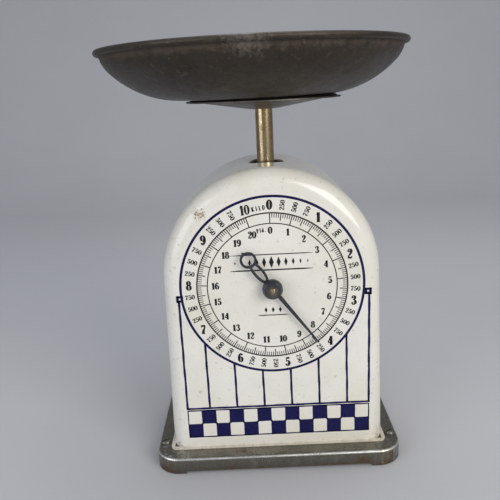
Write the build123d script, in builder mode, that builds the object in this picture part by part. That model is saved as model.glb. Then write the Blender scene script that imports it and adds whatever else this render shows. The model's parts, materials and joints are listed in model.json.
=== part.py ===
"""Spring kitchen scale: a loose pan on a tray, a brass post, an enamelled housing with a round
dial, and the spring, rack and pointer movement inside it, on a pressed base plate.

Frame: +Z up, the front (dial) faces -Y, and the origin is the post's axis on the table.
Units are millimetres. The pieces stand as they do with the pointer at rest_angle on the dial.
"""

import os
from math import atan2, cos, degrees, pi, radians, sin, sqrt, tan

from build123d import *

os.makedirs("parts", exist_ok=True)

# ---------------------------------------------------------------- driving dimensions
# base plate
base_width = 203.0
base_depth = 130.0
base_height = 14.0
base_corner = 20.0
base_sheet = 1.0
base_edge = 2.0
skirt_lift = 2.6
lobe_lift = 0.5
lobe_length = 25.0
# feet and their screws
foot_x = 95.5
foot_y = 39.0
foot_radius = 5.0
foot_recess = 3.6
foot_recess_depth = 4.0
# housing
housing_depth = 100.0
arch_radius = 85.6
arch_centre_z = 160.0
side_taper = 1.0
housing_sheet = 1.2
front_round = 14.0
flange_out = 1.6
flange_thick = 1.4
post_hole_radius = 14.5
dial_z = 153.7
arbor_hole_radius = 4.0
# travel: the dial reads full_load over dial_sweep degrees and stands at rest_angle
dial_sweep = 346.0
rest_angle = 143.0
gear_module = 0.75
pinion_teeth = 14
# post, tray and pan
post_radius = 7.0
post_wall = 1.0
tray_z = 287.0
tray_radius = 61.2
tray_rise = 8.0
tray_sheet = 1.0
tray_flat = 12.0
tray_lip = 2.6
tray_step = 1.3
pan_offset = -8.0
pan_gap = 0.1
pan_flat = 56.0
pan_sheet = 1.0
pan_low_arc = 76.0
pan_low_turn = 45.3
pan_high_arc = 24.0
pan_high_turn = 34.7
pan_wall_top = 2.0
bead_radius = 2.3
wire_radius = 1.2
# movement
frame_half_width = 51.0
frame_sheet = 2.0
frame_front = -20.0
frame_back = 45.0
frame_top = 216.0
frame_foot = 15.0
rod_radius = 2.0
rod_y = -13.0
pivot_y = 39.0
upper_rod_z = 190.0
lower_rod_z = 70.0
link_inner_x = 41.0
link_sheet = 2.5
link_half_height = 4.5
link_play = 0.4
link_tube_radius = 3.5
clip_sheet = 1.0
spring_x = 26.0
coil_radius = 7.0
spring_wire = 1.0
coil_pitch = 3.6
coil_low_z = 112.0
coil_height = 72.0
eye_radius = 4.0
eye_wire = 1.0
carrier_half_thick = 4.0
stem_half_width = 10.0
bar_half_width = 36.0
bar_z = 80.0
bar_height = 8.0
carrier_top = 200.0
collar_height = 5.0
plug_length = 20.0
arbor_radius = 2.0
pinion_front = -38.0
pinion_width = 8.0
bridge_y = -43.0
bridge_sheet = 1.5
bridge_half_height = 10.0
cock_y = -27.5
bush_radius = 4.0
pointer_y = -54.5
pointer_sheet = 1.0
pointer_reach = 58.0
hub_radius = 7.9
hub_face_radius = 6.2
hub_height = 6.0
hub_sleeve = 3.4
# fits
running = 0.05
slip = 0.3

# ---------------------------------------------------------------- derived values
pitch_radius = gear_module * pinion_teeth / 2
travel_up = radians(rest_angle) * pitch_radius
travel_down = radians(dial_sweep - rest_angle) * pitch_radius
mid_drop = (travel_down - travel_up) / 2
plate_top = base_height
housing_front = -housing_depth / 2
housing_back = housing_depth / 2
arch_tangent_x = arch_radius * cos(radians(side_taper))
arch_tangent_z = arch_centre_z + arch_radius * sin(radians(side_taper))
housing_half_foot = arch_tangent_x + tan(radians(side_taper)) * (arch_tangent_z - plate_top)
housing_top = arch_centre_z + arch_radius
link_reach = pivot_y - rod_y
link_stretch = sqrt(link_reach**2 + ((travel_up + travel_down) / 2) ** 2)
link_rest_tilt = degrees(atan2(mid_drop, link_reach))
link_swing = 2 * atan2((travel_up + travel_down) / 2, link_reach)
tray_top = tray_z + tray_rise + tray_sheet
pan_z = tray_top + pan_gap
post_bore = post_radius - post_wall
collar_top = carrier_top + collar_height


def save(builder, label):
    """Names a finished piece and writes it as its own STEP file."""
    builder.part.label = label
    export_step(builder.part, f"parts/{label}.step")


def four(x, y):
    """The four corners of a rectangle centred on the post's axis."""
    return [(x, y), (x, -y), (-x, y), (-x, -y)]


# ---------------------------------------------------------------- fasteners
def screws_up(points, z, head_radius, head_height, shank_radius, reach, label):
    """Round-headed screws that point up, their heads under the face at height z."""
    with BuildPart() as screws:
        with Locations(*[(x, y, z) for x, y in points]):
            Cylinder(head_radius, head_height, align=(Align.CENTER, Align.CENTER, Align.MAX))
            Cylinder(shank_radius, reach, align=(Align.CENTER, Align.CENTER, Align.MIN))
    save(screws, label)


def nuts(points, z, shank_radius, thickness, label):
    """Hexagon nuts that stand on the face at height z."""
    with BuildPart() as nut_set:
        with BuildSketch(Plane.XY.offset(z)):
            with Locations(*points):
                RegularPolygon(radius=1.85 * shank_radius, side_count=6)
                Circle(shank_radius, mode=Mode.SUBTRACT)
        extrude(amount=thickness)
    save(nut_set, label)


# ---------------------------------------------------------------- base plate and feet
foot_points = four(foot_x, foot_y)
foot_shank = 1.5
frame_screw_points = [(x, y) for x in (-59.0, 59.0) for y in (-10.0, 35.0)]
frame_shank = 1.5
clip_points = four(79.0, 30.0)
clip_shank = 1.5

with BuildPart() as base_plate:
    with BuildSketch(Plane.XY.offset(lobe_lift)):
        RectangleRounded(base_width, base_depth, base_corner)
    extrude(amount=base_height - lobe_lift)
    fillet(base_plate.faces().sort_by(Axis.Z)[-1].edges(), base_edge)
    with BuildSketch(Plane.XY.offset(lobe_lift)):
        RectangleRounded(
            base_width - 2 * base_sheet, base_depth - 2 * base_sheet, base_corner - base_sheet
        )
    extrude(amount=base_height - lobe_lift - base_sheet, mode=Mode.SUBTRACT)
    with Locations((0, 0, 0)):
        Box(
            base_width - 2 * lobe_length, base_depth + 2, skirt_lift,
            align=(Align.CENTER, Align.CENTER, Align.MIN), mode=Mode.SUBTRACT,
        )
        Box(
            base_width + 2, base_depth - 2 * lobe_length, skirt_lift,
            align=(Align.CENTER, Align.CENTER, Align.MIN), mode=Mode.SUBTRACT,
        )
    with Locations(*[(x, y, base_height) for x, y in foot_points]):
        Hole(foot_shank)
    with Locations(*[(x, y, base_height) for x, y in frame_screw_points]):
        Hole(frame_shank)
    with Locations(*[(x, y, base_height) for x, y in clip_points]):
        Hole(clip_shank)
save(base_plate, "base_plate")

foot_height = base_height - base_sheet
with BuildPart() as rubber_feet:
    with Locations(*[(x, y, 0) for x, y in foot_points]):
        Cylinder(foot_radius, foot_height, align=(Align.CENTER, Align.CENTER, Align.MIN))
        Cylinder(
            foot_shank, foot_height, align=(Align.CENTER, Align.CENTER, Align.MIN),
            mode=Mode.SUBTRACT,
        )
        Cylinder(
            foot_recess, foot_recess_depth, align=(Align.CENTER, Align.CENTER, Align.MIN),
            mode=Mode.SUBTRACT,
        )
save(rubber_feet, "rubber_feet")

foot_head_radius = 4.2
foot_head_height = 2.2
foot_nut_thick = 2.4
with BuildPart() as foot_screws:
    with Locations(*[(x, y, plate_top) for x, y in foot_points]):
        Cylinder(
            foot_head_radius, foot_head_height, align=(Align.CENTER, Align.CENTER, Align.MIN)
        )
        Cylinder(
            foot_shank, plate_top - foot_recess_depth + foot_nut_thick + 0.4,
            align=(Align.CENTER, Align.CENTER, Align.MAX),
        )
    fillet(foot_screws.edges().filter_by(GeomType.CIRCLE).group_by(Axis.Z)[-1], 1.7)
    with Locations(*[(x, y, plate_top + foot_head_height) for x, y in foot_points]):
        Box(
            2 * foot_head_radius + 1, 0.9, 0.9, rotation=(0, 0, 35),
            align=(Align.CENTER, Align.CENTER, Align.MAX), mode=Mode.SUBTRACT,
        )
save(foot_screws, "foot_screws")
nuts(foot_points, foot_recess_depth - foot_nut_thick, foot_shank, foot_nut_thick, "foot_nuts")


# ---------------------------------------------------------------- housing
def housing_outline(inset, bottom):
    """The arched outline in the XZ plane, drawn inside itself by inset, down to a given height."""
    radius = arch_radius - inset
    side = radius * cos(radians(side_taper))
    spring_line = arch_centre_z + radius * sin(radians(side_taper))
    foot = side + tan(radians(side_taper)) * (spring_line - bottom)
    with BuildLine() as outline:
        Polyline((-side, spring_line), (-foot, bottom), (foot, bottom), (side, spring_line))
        ThreePointArc((side, spring_line), (0, arch_centre_z + radius), (-side, spring_line))
    return outline.line


# each back tab: centre x, centre z, width, height
back_tabs = [
    (-77.5, 40.0, 19.0, 12.0),
    (77.5, 40.0, 19.0, 12.0),
    (-74.5, 170.0, 17.0, 12.0),
    (74.5, 170.0, 17.0, 12.0),
    (0.0, 238.0, 12.0, 13.5),
]
back_screw_points = [(x, z) for x, z, width, height in back_tabs]
back_shank = 1.5

with BuildPart() as housing:
    with BuildSketch(Plane.XZ.offset(-housing_back)):
        add(housing_outline(0, plate_top))
        make_face()
    extrude(amount=housing_depth)
    front = housing.faces().sort_by(Axis.Y)[0]
    fillet([e for e in front.edges() if e.center().Z > plate_top + 1], front_round)
    open_faces = [
        housing.faces().sort_by(Axis.Z)[0],
        housing.faces().filter_by(Axis.Y).sort_by(Axis.Y)[-1],
    ]
    offset(amount=-housing_sheet, openings=open_faces)
    # the turned-out edge along the bottom
    with BuildSketch(Plane.XY.offset(plate_top)):
        with Locations((0, -flange_out / 2)):
            RectangleRounded(
                2 * (housing_half_foot + flange_out), housing_depth + flange_out, 5.0
            )
        with Locations((0, housing_sheet / 2)):
            Rectangle(
                2 * (housing_half_foot - housing_sheet), housing_depth - housing_sheet + 0.02,
                mode=Mode.SUBTRACT,
            )
    extrude(amount=flange_thick)
    # the tabs along the back edge and the four that lie on the base plate
    for x, z, width, height in back_tabs:
        with Locations((x, housing_back - housing_sheet / 2, z)):
            Box(width, housing_sheet, height)
    with BuildSketch(Plane.XZ.offset(-housing_back)):
        with Locations(*back_screw_points):
            Circle(back_shank)
    extrude(amount=2 * housing_sheet, mode=Mode.SUBTRACT)
    for x, y in clip_points:
        with Locations((x + (1.5 if x > 0 else -1.5), y, plate_top)):
            Box(16, 12, housing_sheet, align=(Align.CENTER, Align.CENTER, Align.MIN))
    with Locations(*[(x, y, plate_top + housing_sheet) for x, y in clip_points]):
        Hole(clip_shank, depth=2 * housing_sheet)
    with Locations((0, 0, housing_top)):
        Cylinder(post_hole_radius, 20, mode=Mode.SUBTRACT)
    with Locations((0, housing_front, dial_z)):
        Cylinder(arbor_hole_radius, 10, rotation=(90, 0, 0), mode=Mode.SUBTRACT)
save(housing, "housing")

plate_under = plate_top - base_sheet
clip_reach = base_sheet + housing_sheet + 3.2
screws_up(clip_points, plate_under, 2.8, 1.8, clip_shank, clip_reach, "housing_screws")
nuts(clip_points, plate_top + housing_sheet, clip_shank, 2.4, "housing_nuts")

cover_sheet = 0.8
knob_z = 222.0
knob_bush_radius = 4.0
with BuildPart() as back_cover:
    with BuildSketch(Plane.XZ.offset(-housing_back)):
        add(housing_outline(slip, plate_top + flange_thick + slip))
        make_face()
        with Locations(*back_screw_points):
            Circle(back_shank, mode=Mode.SUBTRACT)
        with Locations((0, knob_z)):
            Circle(knob_bush_radius, mode=Mode.SUBTRACT)
    extrude(amount=-cover_sheet)
save(back_cover, "back_cover")

with BuildPart() as cover_screws:
    for x, z in back_screw_points:
        with Locations((x, housing_back + cover_sheet, z)):
            Cylinder(
                2.8, 1.6, rotation=(-90, 0, 0), align=(Align.CENTER, Align.CENTER, Align.MIN)
            )
            Cylinder(
                back_shank, 6.0, rotation=(90, 0, 0),
                align=(Align.CENTER, Align.CENTER, Align.MIN),
            )
    fillet(cover_screws.edges().filter_by(GeomType.CIRCLE).group_by(Axis.Y)[-1], 1.0)
    for x, z in back_screw_points:
        with Locations((x, housing_back + cover_sheet + 1.6, z)):
            Box(6.0, 1.2, 0.8, rotation=(0, 25, 0), mode=Mode.SUBTRACT)
save(cover_screws, "back_cover_screws")

with BuildPart() as cover_nuts:
    with BuildSketch(Plane.XZ.offset(-(housing_back - housing_sheet))):
        with Locations(*back_screw_points):
            RegularPolygon(radius=1.85 * back_shank, side_count=6)
            Circle(back_shank, mode=Mode.SUBTRACT)
    extrude(amount=2.4)
save(cover_nuts, "back_cover_nuts")

# ---------------------------------------------------------------- frame
bridge_screw_y = -16.0
bridge_screw_points = [(bridge_screw_y, dial_z - 5.0), (bridge_screw_y, dial_z + 5.0)]
bridge_shank = 1.4
upper_pivot_z = upper_rod_z - mid_drop
lower_pivot_z = lower_rod_z - mid_drop
hanger_z = 210.0
hanger_sheet = 2.5
hanger_depth = 36.0
hanger_tab = 10.0
hanger_screw_y = 6.0


def side_frame(side, label):
    """One pressed side plate with its foot turned outwards; side is -1 or 1."""
    inner_x = side * (frame_half_width - frame_sheet / 2)
    side_face = Plane(origin=(inner_x, 0, 0), x_dir=(0, 1, 0), z_dir=(1, 0, 0))
    depth = frame_back - frame_front
    with BuildPart() as plate:
        with BuildSketch(side_face):
            with Locations(((frame_front + frame_back) / 2, (plate_top + frame_top) / 2)):
                Rectangle(depth, frame_top - plate_top)
            with Locations((12, 50), (12, 95), (12, 130)):
                Circle(12, mode=Mode.SUBTRACT)
            with Locations((pivot_y, upper_pivot_z), (pivot_y, lower_pivot_z)):
                Circle(rod_radius, mode=Mode.SUBTRACT)
            with Locations(*bridge_screw_points):
                Circle(bridge_shank, mode=Mode.SUBTRACT)
            with Locations((-hanger_screw_y, hanger_z - 5), (hanger_screw_y, hanger_z - 5)):
                Circle(bridge_shank, mode=Mode.SUBTRACT)
        extrude(amount=side * frame_sheet)
        top = plate.edges().filter_by(Axis.X).group_by(Axis.Z)[-1]
        fillet(top, 8)
        foot_width = 15.0
        with Locations((inner_x + side * (frame_sheet + foot_width / 2), 12.5, plate_top)):
            Box(
                foot_width, depth, frame_sheet,
                align=(Align.CENTER, Align.CENTER, Align.MIN),
            )
        with Locations(*[(x, y, plate_top + frame_sheet) for x, y in frame_screw_points
                         if x * side > 0]):
            Hole(frame_shank, depth=frame_sheet + 1)
    save(plate, label)


side_frame(-1, "frame_left")
side_frame(1, "frame_right")
frame_reach = base_sheet + frame_sheet + 3.2
screws_up(frame_screw_points, plate_under, 2.8, 1.8, frame_shank, frame_reach, "frame_screws")
nuts(frame_screw_points, plate_top + frame_sheet, frame_shank, 2.4, "frame_nuts")

frame_inner = frame_half_width - frame_sheet / 2

with BuildPart() as spring_hanger:
    with BuildSketch(Plane.XY.offset(hanger_z)):
        Rectangle(2 * frame_inner, hanger_depth)
        Circle(post_hole_radius + 0.5, mode=Mode.SUBTRACT)
    extrude(amount=hanger_sheet)
    for side in (-1, 1):
        with Locations((side * (frame_inner - 0.75), 0, hanger_z)):
            Box(1.5, hanger_depth, hanger_tab, align=(Align.CENTER, Align.CENTER, Align.MAX))
        with Locations((side * spring_x, 0, hanger_z)):
            Box(10, 2.5, 9.5, align=(Align.CENTER, Align.CENTER, Align.MAX))
        with Locations((side * spring_x, 0, hanger_z - 6.0)):
            Cylinder(eye_wire + 0.8, 4, rotation=(90, 0, 0), mode=Mode.SUBTRACT)
        for y in (-hanger_screw_y, hanger_screw_y):
            with Locations((side * frame_inner, y, hanger_z - 5)):
                Cylinder(bridge_shank, 6, rotation=(0, 90, 0), mode=Mode.SUBTRACT)
save(spring_hanger, "spring_hanger")


def side_screws(points, inner_x, label):
    """Screws that go in through both side frames, head outside; points are (y, z)."""
    outer = frame_half_width + frame_sheet / 2
    with BuildPart() as screw_set:
        for side in (-1, 1):
            for y, z in points:
                with Locations((side * (inner_x + outer) / 2, y, z)):
                    Cylinder(bridge_shank, outer - inner_x, rotation=(0, 90, 0))
                with Locations((side * (outer + 0.9), y, z)):
                    Cylinder(2.7, 1.8, rotation=(0, 90, 0))
    save(screw_set, label)


hanger_screw_points = [(-hanger_screw_y, hanger_z - 5), (hanger_screw_y, hanger_z - 5)]
side_screws(hanger_screw_points, frame_inner - 2.5, "hanger_screws")


def arbor_bearing_plate(front_y, arm_inset, label):
    """A plate across the frame that carries one end of the pointer's arbor."""
    half = frame_inner - arm_inset
    arm_end = -11.0
    with BuildPart() as plate:
        with Locations((0, front_y, dial_z)):
            Box(
                2 * half, bridge_sheet, 2 * bridge_half_height,
                align=(Align.CENTER, Align.MIN, Align.CENTER),
            )
            Cylinder(bush_radius, 20, rotation=(90, 0, 0), mode=Mode.SUBTRACT)
        for side in (-1, 1):
            with Locations((side * (half - bridge_sheet / 2), front_y, dial_z)):
                Box(
                    bridge_sheet, arm_end - front_y, 2 * bridge_half_height,
                    align=(Align.CENTER, Align.MIN, Align.CENTER),
                )
            for y, z in bridge_screw_points:
                with Locations((side * half, y, z)):
                    Cylinder(bridge_shank, 8, rotation=(0, 90, 0), mode=Mode.SUBTRACT)
    save(plate, label)


arbor_bearing_plate(bridge_y, 0.0, "front_bridge")
arbor_bearing_plate(cock_y, bridge_sheet, "rear_bridge")
side_screws(bridge_screw_points, frame_inner - 2 * bridge_sheet - 0.8, "bridge_screws")


def bush(y_from, y_to, flange_from, flange_to, label):
    """A turned brass bush round the arbor, with a flange against its plate."""
    with BuildPart() as turned:
        with Locations((0, y_from, dial_z)):
            Cylinder(
                bush_radius, y_to - y_from, rotation=(-90, 0, 0),
                align=(Align.CENTER, Align.CENTER, Align.MIN),
            )
        with Locations((0, flange_from, dial_z)):
            Cylinder(
                bush_radius + 1.8, flange_to - flange_from, rotation=(-90, 0, 0),
                align=(Align.CENTER, Align.CENTER, Align.MIN),
            )
        with Locations((0, y_from, dial_z)):
            Cylinder(arbor_radius + running, 20, rotation=(90, 0, 0), mode=Mode.SUBTRACT)
    save(turned, label)


front_bush_back = bridge_y + bridge_sheet + 1.0
rear_bush_front = cock_y - 1.0
bush(bridge_y - 1.2, front_bush_back, bridge_y - 1.2, bridge_y, "front_bush")
bush(
    rear_bush_front, cock_y + bridge_sheet + 1.2,
    cock_y + bridge_sheet, cock_y + bridge_sheet + 1.2, "rear_bush",
)


def cross_rod(y, z, half_length, label):
    """A plain round rod across the movement."""
    with BuildPart() as rod:
        with Locations((0, y, z)):
            Cylinder(rod_radius, 2 * half_length, rotation=(0, 90, 0))
    save(rod, label)


pivot_half = frame_half_width + frame_sheet / 2 + 2.5
cross_rod(pivot_y, upper_pivot_z, pivot_half, "upper_pivot_rod")
cross_rod(pivot_y, lower_pivot_z, pivot_half, "lower_pivot_rod")


def rod_clips(points, inner_x, label):
    """Round retaining clips, one near each end of the rods at the given (y, z)."""
    with BuildPart() as clips:
        for side in (-1, 1):
            for y, z in points:
                with Locations((side * (inner_x + clip_sheet / 2), y, z)):
                    Cylinder(2 * rod_radius, clip_sheet, rotation=(0, 90, 0))
                    Cylinder(rod_radius, 4, rotation=(0, 90, 0), mode=Mode.SUBTRACT)
    save(clips, label)


frame_outer = frame_half_width + frame_sheet / 2
rod_clips(
    [(pivot_y, upper_pivot_z), (pivot_y, lower_pivot_z)], frame_outer + 0.1, "pivot_rod_clips"
)


# ---------------------------------------------------------------- guide links
def link(pivot_z, name):
    """A pair of arms, joined by a tube that turns on the frame's pivot rod."""
    tilt = radians(link_rest_tilt)
    far = link_stretch + 0.1
    with BuildPart() as arms:
        for side in (-1, 1):
            along = Plane(
                origin=(side * link_inner_x, pivot_y, pivot_z),
                x_dir=(0, -cos(tilt), sin(tilt)), z_dir=(1, 0, 0),
            )
            with BuildSketch(along):
                with Locations((far / 2, 0)):
                    SlotCenterToCenter(far, 2 * link_half_height)
                Circle(rod_radius + running, mode=Mode.SUBTRACT)
                with Locations(((link_reach + far) / 2, 0)):
                    SlotCenterToCenter(
                        far - link_reach + 0.4, 2 * (rod_radius + link_play), mode=Mode.SUBTRACT
                    )
            extrude(amount=link_sheet / 2, both=True)
    save(arms, name + "_arms")
    with BuildPart() as tube:
        with Locations((0, pivot_y, pivot_z)):
            Cylinder(
                link_tube_radius, 2 * link_inner_x - link_sheet, rotation=(0, 90, 0)
            )
            Cylinder(rod_radius + running, 2 * link_inner_x, rotation=(0, 90, 0),
                     mode=Mode.SUBTRACT)
    save(tube, name + "_tube")


link(upper_pivot_z, "upper_link")
link(lower_pivot_z, "lower_link")

# ---------------------------------------------------------------- carrier
stem_low_z = 62.0
lug_half = 6.0
rack_bracket_z = 92.0
rack_bracket_height = 16.0
bracket_screw_points = [(-5.0, rack_bracket_z + 4.5), (-5.0, rack_bracket_z + 11.5)]

with BuildPart() as carrier:
    with Locations((0, 0, stem_low_z)):
        Box(
            2 * stem_half_width, 2 * carrier_half_thick, carrier_top - stem_low_z,
            align=(Align.CENTER, Align.CENTER, Align.MIN),
        )
    with Locations((0, 0, bar_z - bar_height / 2)):
        Box(
            2 * bar_half_width, 4, bar_height,
            align=(Align.CENTER, Align.CENTER, Align.MIN),
        )
    for z in (upper_rod_z, lower_rod_z):
        with Locations((0, rod_y / 2 - 2.5, z)):
            Box(2 * stem_half_width, -rod_y + 5.0, 2 * lug_half)
    fillet(carrier.edges().filter_by(Axis.X).group_by(Axis.Y)[0], 4.0)
    for z in (upper_rod_z, lower_rod_z):
        with Locations((0, rod_y, z)):
            Cylinder(rod_radius, 4 * stem_half_width, rotation=(0, 90, 0), mode=Mode.SUBTRACT)
    with Locations((0, 0, carrier_top)):
        Cylinder(
            post_radius + 1.5, collar_height, align=(Align.CENTER, Align.CENTER, Align.MIN)
        )
        Cylinder(
            post_bore, collar_height + plug_length,
            align=(Align.CENTER, Align.CENTER, Align.MIN),
        )
    for side in (-1, 1):
        with Locations((side * spring_x, 0, bar_z)):
            Cylinder(eye_wire + 0.8, 6, rotation=(90, 0, 0), mode=Mode.SUBTRACT)
    for x, z in bracket_screw_points:
        with Locations((x, -carrier_half_thick, z)):
            Cylinder(bridge_shank, 10, rotation=(90, 0, 0), mode=Mode.SUBTRACT)
    with Locations((0, 0, collar_top + plug_length / 2)):
        Cylinder(1.25, 20, rotation=(0, 90, 0), mode=Mode.SUBTRACT)
save(carrier, "carrier")

rod_half = link_inner_x + link_sheet / 2 + 3.0
cross_rod(rod_y, upper_rod_z, rod_half, "upper_rod")
cross_rod(rod_y, lower_rod_z, rod_half, "lower_rod")
rod_clips(
    [(rod_y, upper_rod_z), (rod_y, lower_rod_z)],
    link_inner_x + link_sheet / 2 + slip, "rod_clips",
)


# ---------------------------------------------------------------- springs
hook_low_z = bar_z + eye_radius
hook_high_z = hanger_z - 6.0 - eye_radius


def tension_spring(x, label):
    """A close coil with a long hook and an eye at each end."""
    coil_high_z = coil_low_z + coil_height
    with BuildPart() as spring:
        with BuildLine(Plane((x, 0, coil_low_z))) as coil_path:
            Helix(pitch=coil_pitch, height=coil_height, radius=coil_radius)
        start = coil_path.wires()[0] @ 0
        heading = coil_path.wires()[0] % 0
        with BuildSketch(Plane(origin=start, z_dir=heading)):
            Circle(spring_wire)
        sweep(path=coil_path.wires()[0], is_frenet=True)
        for z in (coil_low_z, coil_high_z):
            with Locations((x + coil_radius / 2, 0, z)):
                Cylinder(spring_wire, coil_radius, rotation=(0, 90, 0))
            with Locations((x, 0, z), (x + coil_radius, 0, z)):
                Sphere(1.5 * spring_wire)
        low_hook = coil_low_z - hook_low_z - eye_radius
        high_hook = hook_high_z - eye_radius - coil_high_z
        with Locations((x, 0, coil_low_z)):
            Cylinder(spring_wire, low_hook, align=(Align.CENTER, Align.CENTER, Align.MAX))
        with Locations((x, 0, coil_high_z)):
            Cylinder(spring_wire, high_hook, align=(Align.CENTER, Align.CENTER, Align.MIN))
        with Locations((x, 0, hook_low_z), (x, 0, hook_high_z)):
            Torus(eye_radius, eye_wire, rotation=(0, 90, 0))
    save(spring, label)


tension_spring(-spring_x, "spring_left")
tension_spring(spring_x, "spring_right")

# ---------------------------------------------------------------- rack and pinion
pressure = radians(20)
pitch = pi * gear_module
tooth_slack = 0.12
rack_addendum = 0.8 * gear_module
rack_dedendum = gear_module + 0.25
rack_width = 6.0
rack_middle_y = pinion_front + pinion_width / 2
rack_back_x = pitch_radius + 5.2
rack_low_z = rack_bracket_z
rack_teeth_up = int(travel_down / pitch) + 2
rack_teeth_down = int(travel_up / pitch) + 2
rack_high_z = dial_z + (rack_teeth_up + 0.5) * pitch + 2.0

with BuildPart() as rack:
    with BuildSketch(Plane.XZ.offset(-(rack_middle_y + rack_width / 2))):
        root_x = pitch_radius + rack_dedendum
        with Locations(((root_x + rack_back_x) / 2, (rack_low_z + rack_high_z) / 2)):
            Rectangle(rack_back_x - root_x, rack_high_z - rack_low_z)
        half_pitch_line = pitch / 4 - tooth_slack / 2
        half_tip = half_pitch_line - rack_addendum * tan(pressure)
        half_root = half_pitch_line + rack_dedendum * tan(pressure)
        tip_x = pitch_radius - rack_addendum
        for tooth in range(-rack_teeth_down, rack_teeth_up + 1):
            z = dial_z + tooth * pitch
            with BuildLine():
                Polyline(
                    (root_x + 0.2, z - half_root), (tip_x, z - half_tip),
                    (tip_x, z + half_tip), (root_x + 0.2, z + half_root), close=True,
                )
            make_face()
    extrude(amount=rack_width)
    with Locations((rack_back_x, rack_middle_y, rack_bracket_z + 8)):
        Cylinder(bridge_shank, 12, rotation=(0, 90, 0), mode=Mode.SUBTRACT)
save(rack, "rack")

bracket_sheet = 2.5
with BuildPart() as rack_bracket:
    with Locations((0, -carrier_half_thick, rack_bracket_z)):
        with Locations((-stem_half_width, 0, 0)):
            Box(
                stem_half_width + rack_back_x + bracket_sheet, bracket_sheet,
                rack_bracket_height, align=(Align.MIN, Align.MAX, Align.MIN),
            )
        with Locations((rack_back_x, 0, 0)):
            Box(
                bracket_sheet, -rack_middle_y + rack_width / 2 - carrier_half_thick + 0.5,
                rack_bracket_height, align=(Align.MIN, Align.MAX, Align.MIN),
            )
    for x, z in bracket_screw_points:
        with Locations((x, -carrier_half_thick, z)):
            Cylinder(bridge_shank, 10, rotation=(90, 0, 0), mode=Mode.SUBTRACT)
    with Locations((rack_back_x, rack_middle_y, rack_bracket_z + 8)):
        Cylinder(bridge_shank, 12, rotation=(0, 90, 0), mode=Mode.SUBTRACT)
save(rack_bracket, "rack_bracket")

with BuildPart() as rack_screws:
    face_y = -carrier_half_thick - bracket_sheet
    for x, z in bracket_screw_points:
        with Locations((x, face_y, z)):
            Cylinder(
                2.6, 1.6, rotation=(90, 0, 0), align=(Align.CENTER, Align.CENTER, Align.MIN)
            )
            Cylinder(
                bridge_shank, bracket_sheet + 4.5, rotation=(-90, 0, 0),
                align=(Align.CENTER, Align.CENTER, Align.MIN),
            )
    with Locations((rack_back_x + bracket_sheet, rack_middle_y, rack_bracket_z + 8)):
        Cylinder(
            2.6, 1.6, rotation=(0, 90, 0), align=(Align.CENTER, Align.CENTER, Align.MIN)
        )
        Cylinder(
            bridge_shank, bracket_sheet + 4.0, rotation=(0, -90, 0),
            align=(Align.CENTER, Align.CENTER, Align.MIN),
        )
save(rack_screws, "rack_screws")

base_radius = pitch_radius * cos(pressure)
outer_radius = pitch_radius + gear_module
root_radius = pitch_radius - rack_addendum - 0.2
half_tooth = pi / (2 * pinion_teeth) - tooth_slack / 2 / pitch_radius
flank_steps = 6


def involute_angle(radius):
    """How far the flank has turned from its start at the base circle."""
    roll = sqrt((radius / base_radius) ** 2 - 1)
    return roll - atan2(roll, 1)


with BuildPart() as pinion:
    with BuildSketch(Plane.XZ.offset(-(pinion_front + pinion_width))):
        with Locations((0, dial_z)):
            Circle(root_radius)
        flank = []
        for step in range(flank_steps + 1):
            radius = base_radius + (outer_radius - base_radius) * step / flank_steps
            spread = half_tooth + involute_angle(pitch_radius) - involute_angle(radius)
            flank.append((radius, spread))
        flank = [(root_radius - 0.2, flank[0][1])] + flank
        for tooth in range(pinion_teeth):
            middle = 2 * pi * (tooth + 0.5) / pinion_teeth
            left = [
                (r * cos(middle + s), dial_z + r * sin(middle + s)) for r, s in flank
            ]
            right = [
                (r * cos(middle - s), dial_z + r * sin(middle - s)) for r, s in flank
            ]
            with BuildLine():
                Polyline(*left, *reversed(right), close=True)
            make_face()
    extrude(amount=pinion_width)
    pinion_hub_front = front_bush_back + slip
    pinion_hub_back = rear_bush_front - slip
    with Locations((0, pinion_hub_front, dial_z)):
        Cylinder(
            3.2, pinion_hub_back - pinion_hub_front, rotation=(-90, 0, 0),
            align=(Align.CENTER, Align.CENTER, Align.MIN),
        )
        Cylinder(arbor_radius, 60, rotation=(90, 0, 0), mode=Mode.SUBTRACT)
save(pinion, "pinion")

pointer_back = pointer_y + pointer_sheet / 2
hub_front = pointer_back - pointer_sheet - hub_height
arbor_front = hub_front - 0.5
arbor_back = cock_y + bridge_sheet + 2.0
with BuildPart() as arbor:
    with Locations((0, arbor_front, dial_z)):
        Cylinder(
            arbor_radius, arbor_back - arbor_front, rotation=(-90, 0, 0),
            align=(Align.CENTER, Align.CENTER, Align.MIN),
        )
    fillet(arbor.edges().filter_by(GeomType.CIRCLE), 0.4)
save(arbor, "pointer_arbor")

# ---------------------------------------------------------------- pointer
needle_half_root = 1.7
needle_half_tip = 0.7
tail_ring_at = 29.5
tail_ring_radius = 6.5
tail_ring_bore = 4.6
turn = radians(rest_angle)
pointer_plane = Plane(
    origin=(0, pointer_back, dial_z), x_dir=(sin(turn), 0, cos(turn)), z_dir=(0, -1, 0)
)

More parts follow.
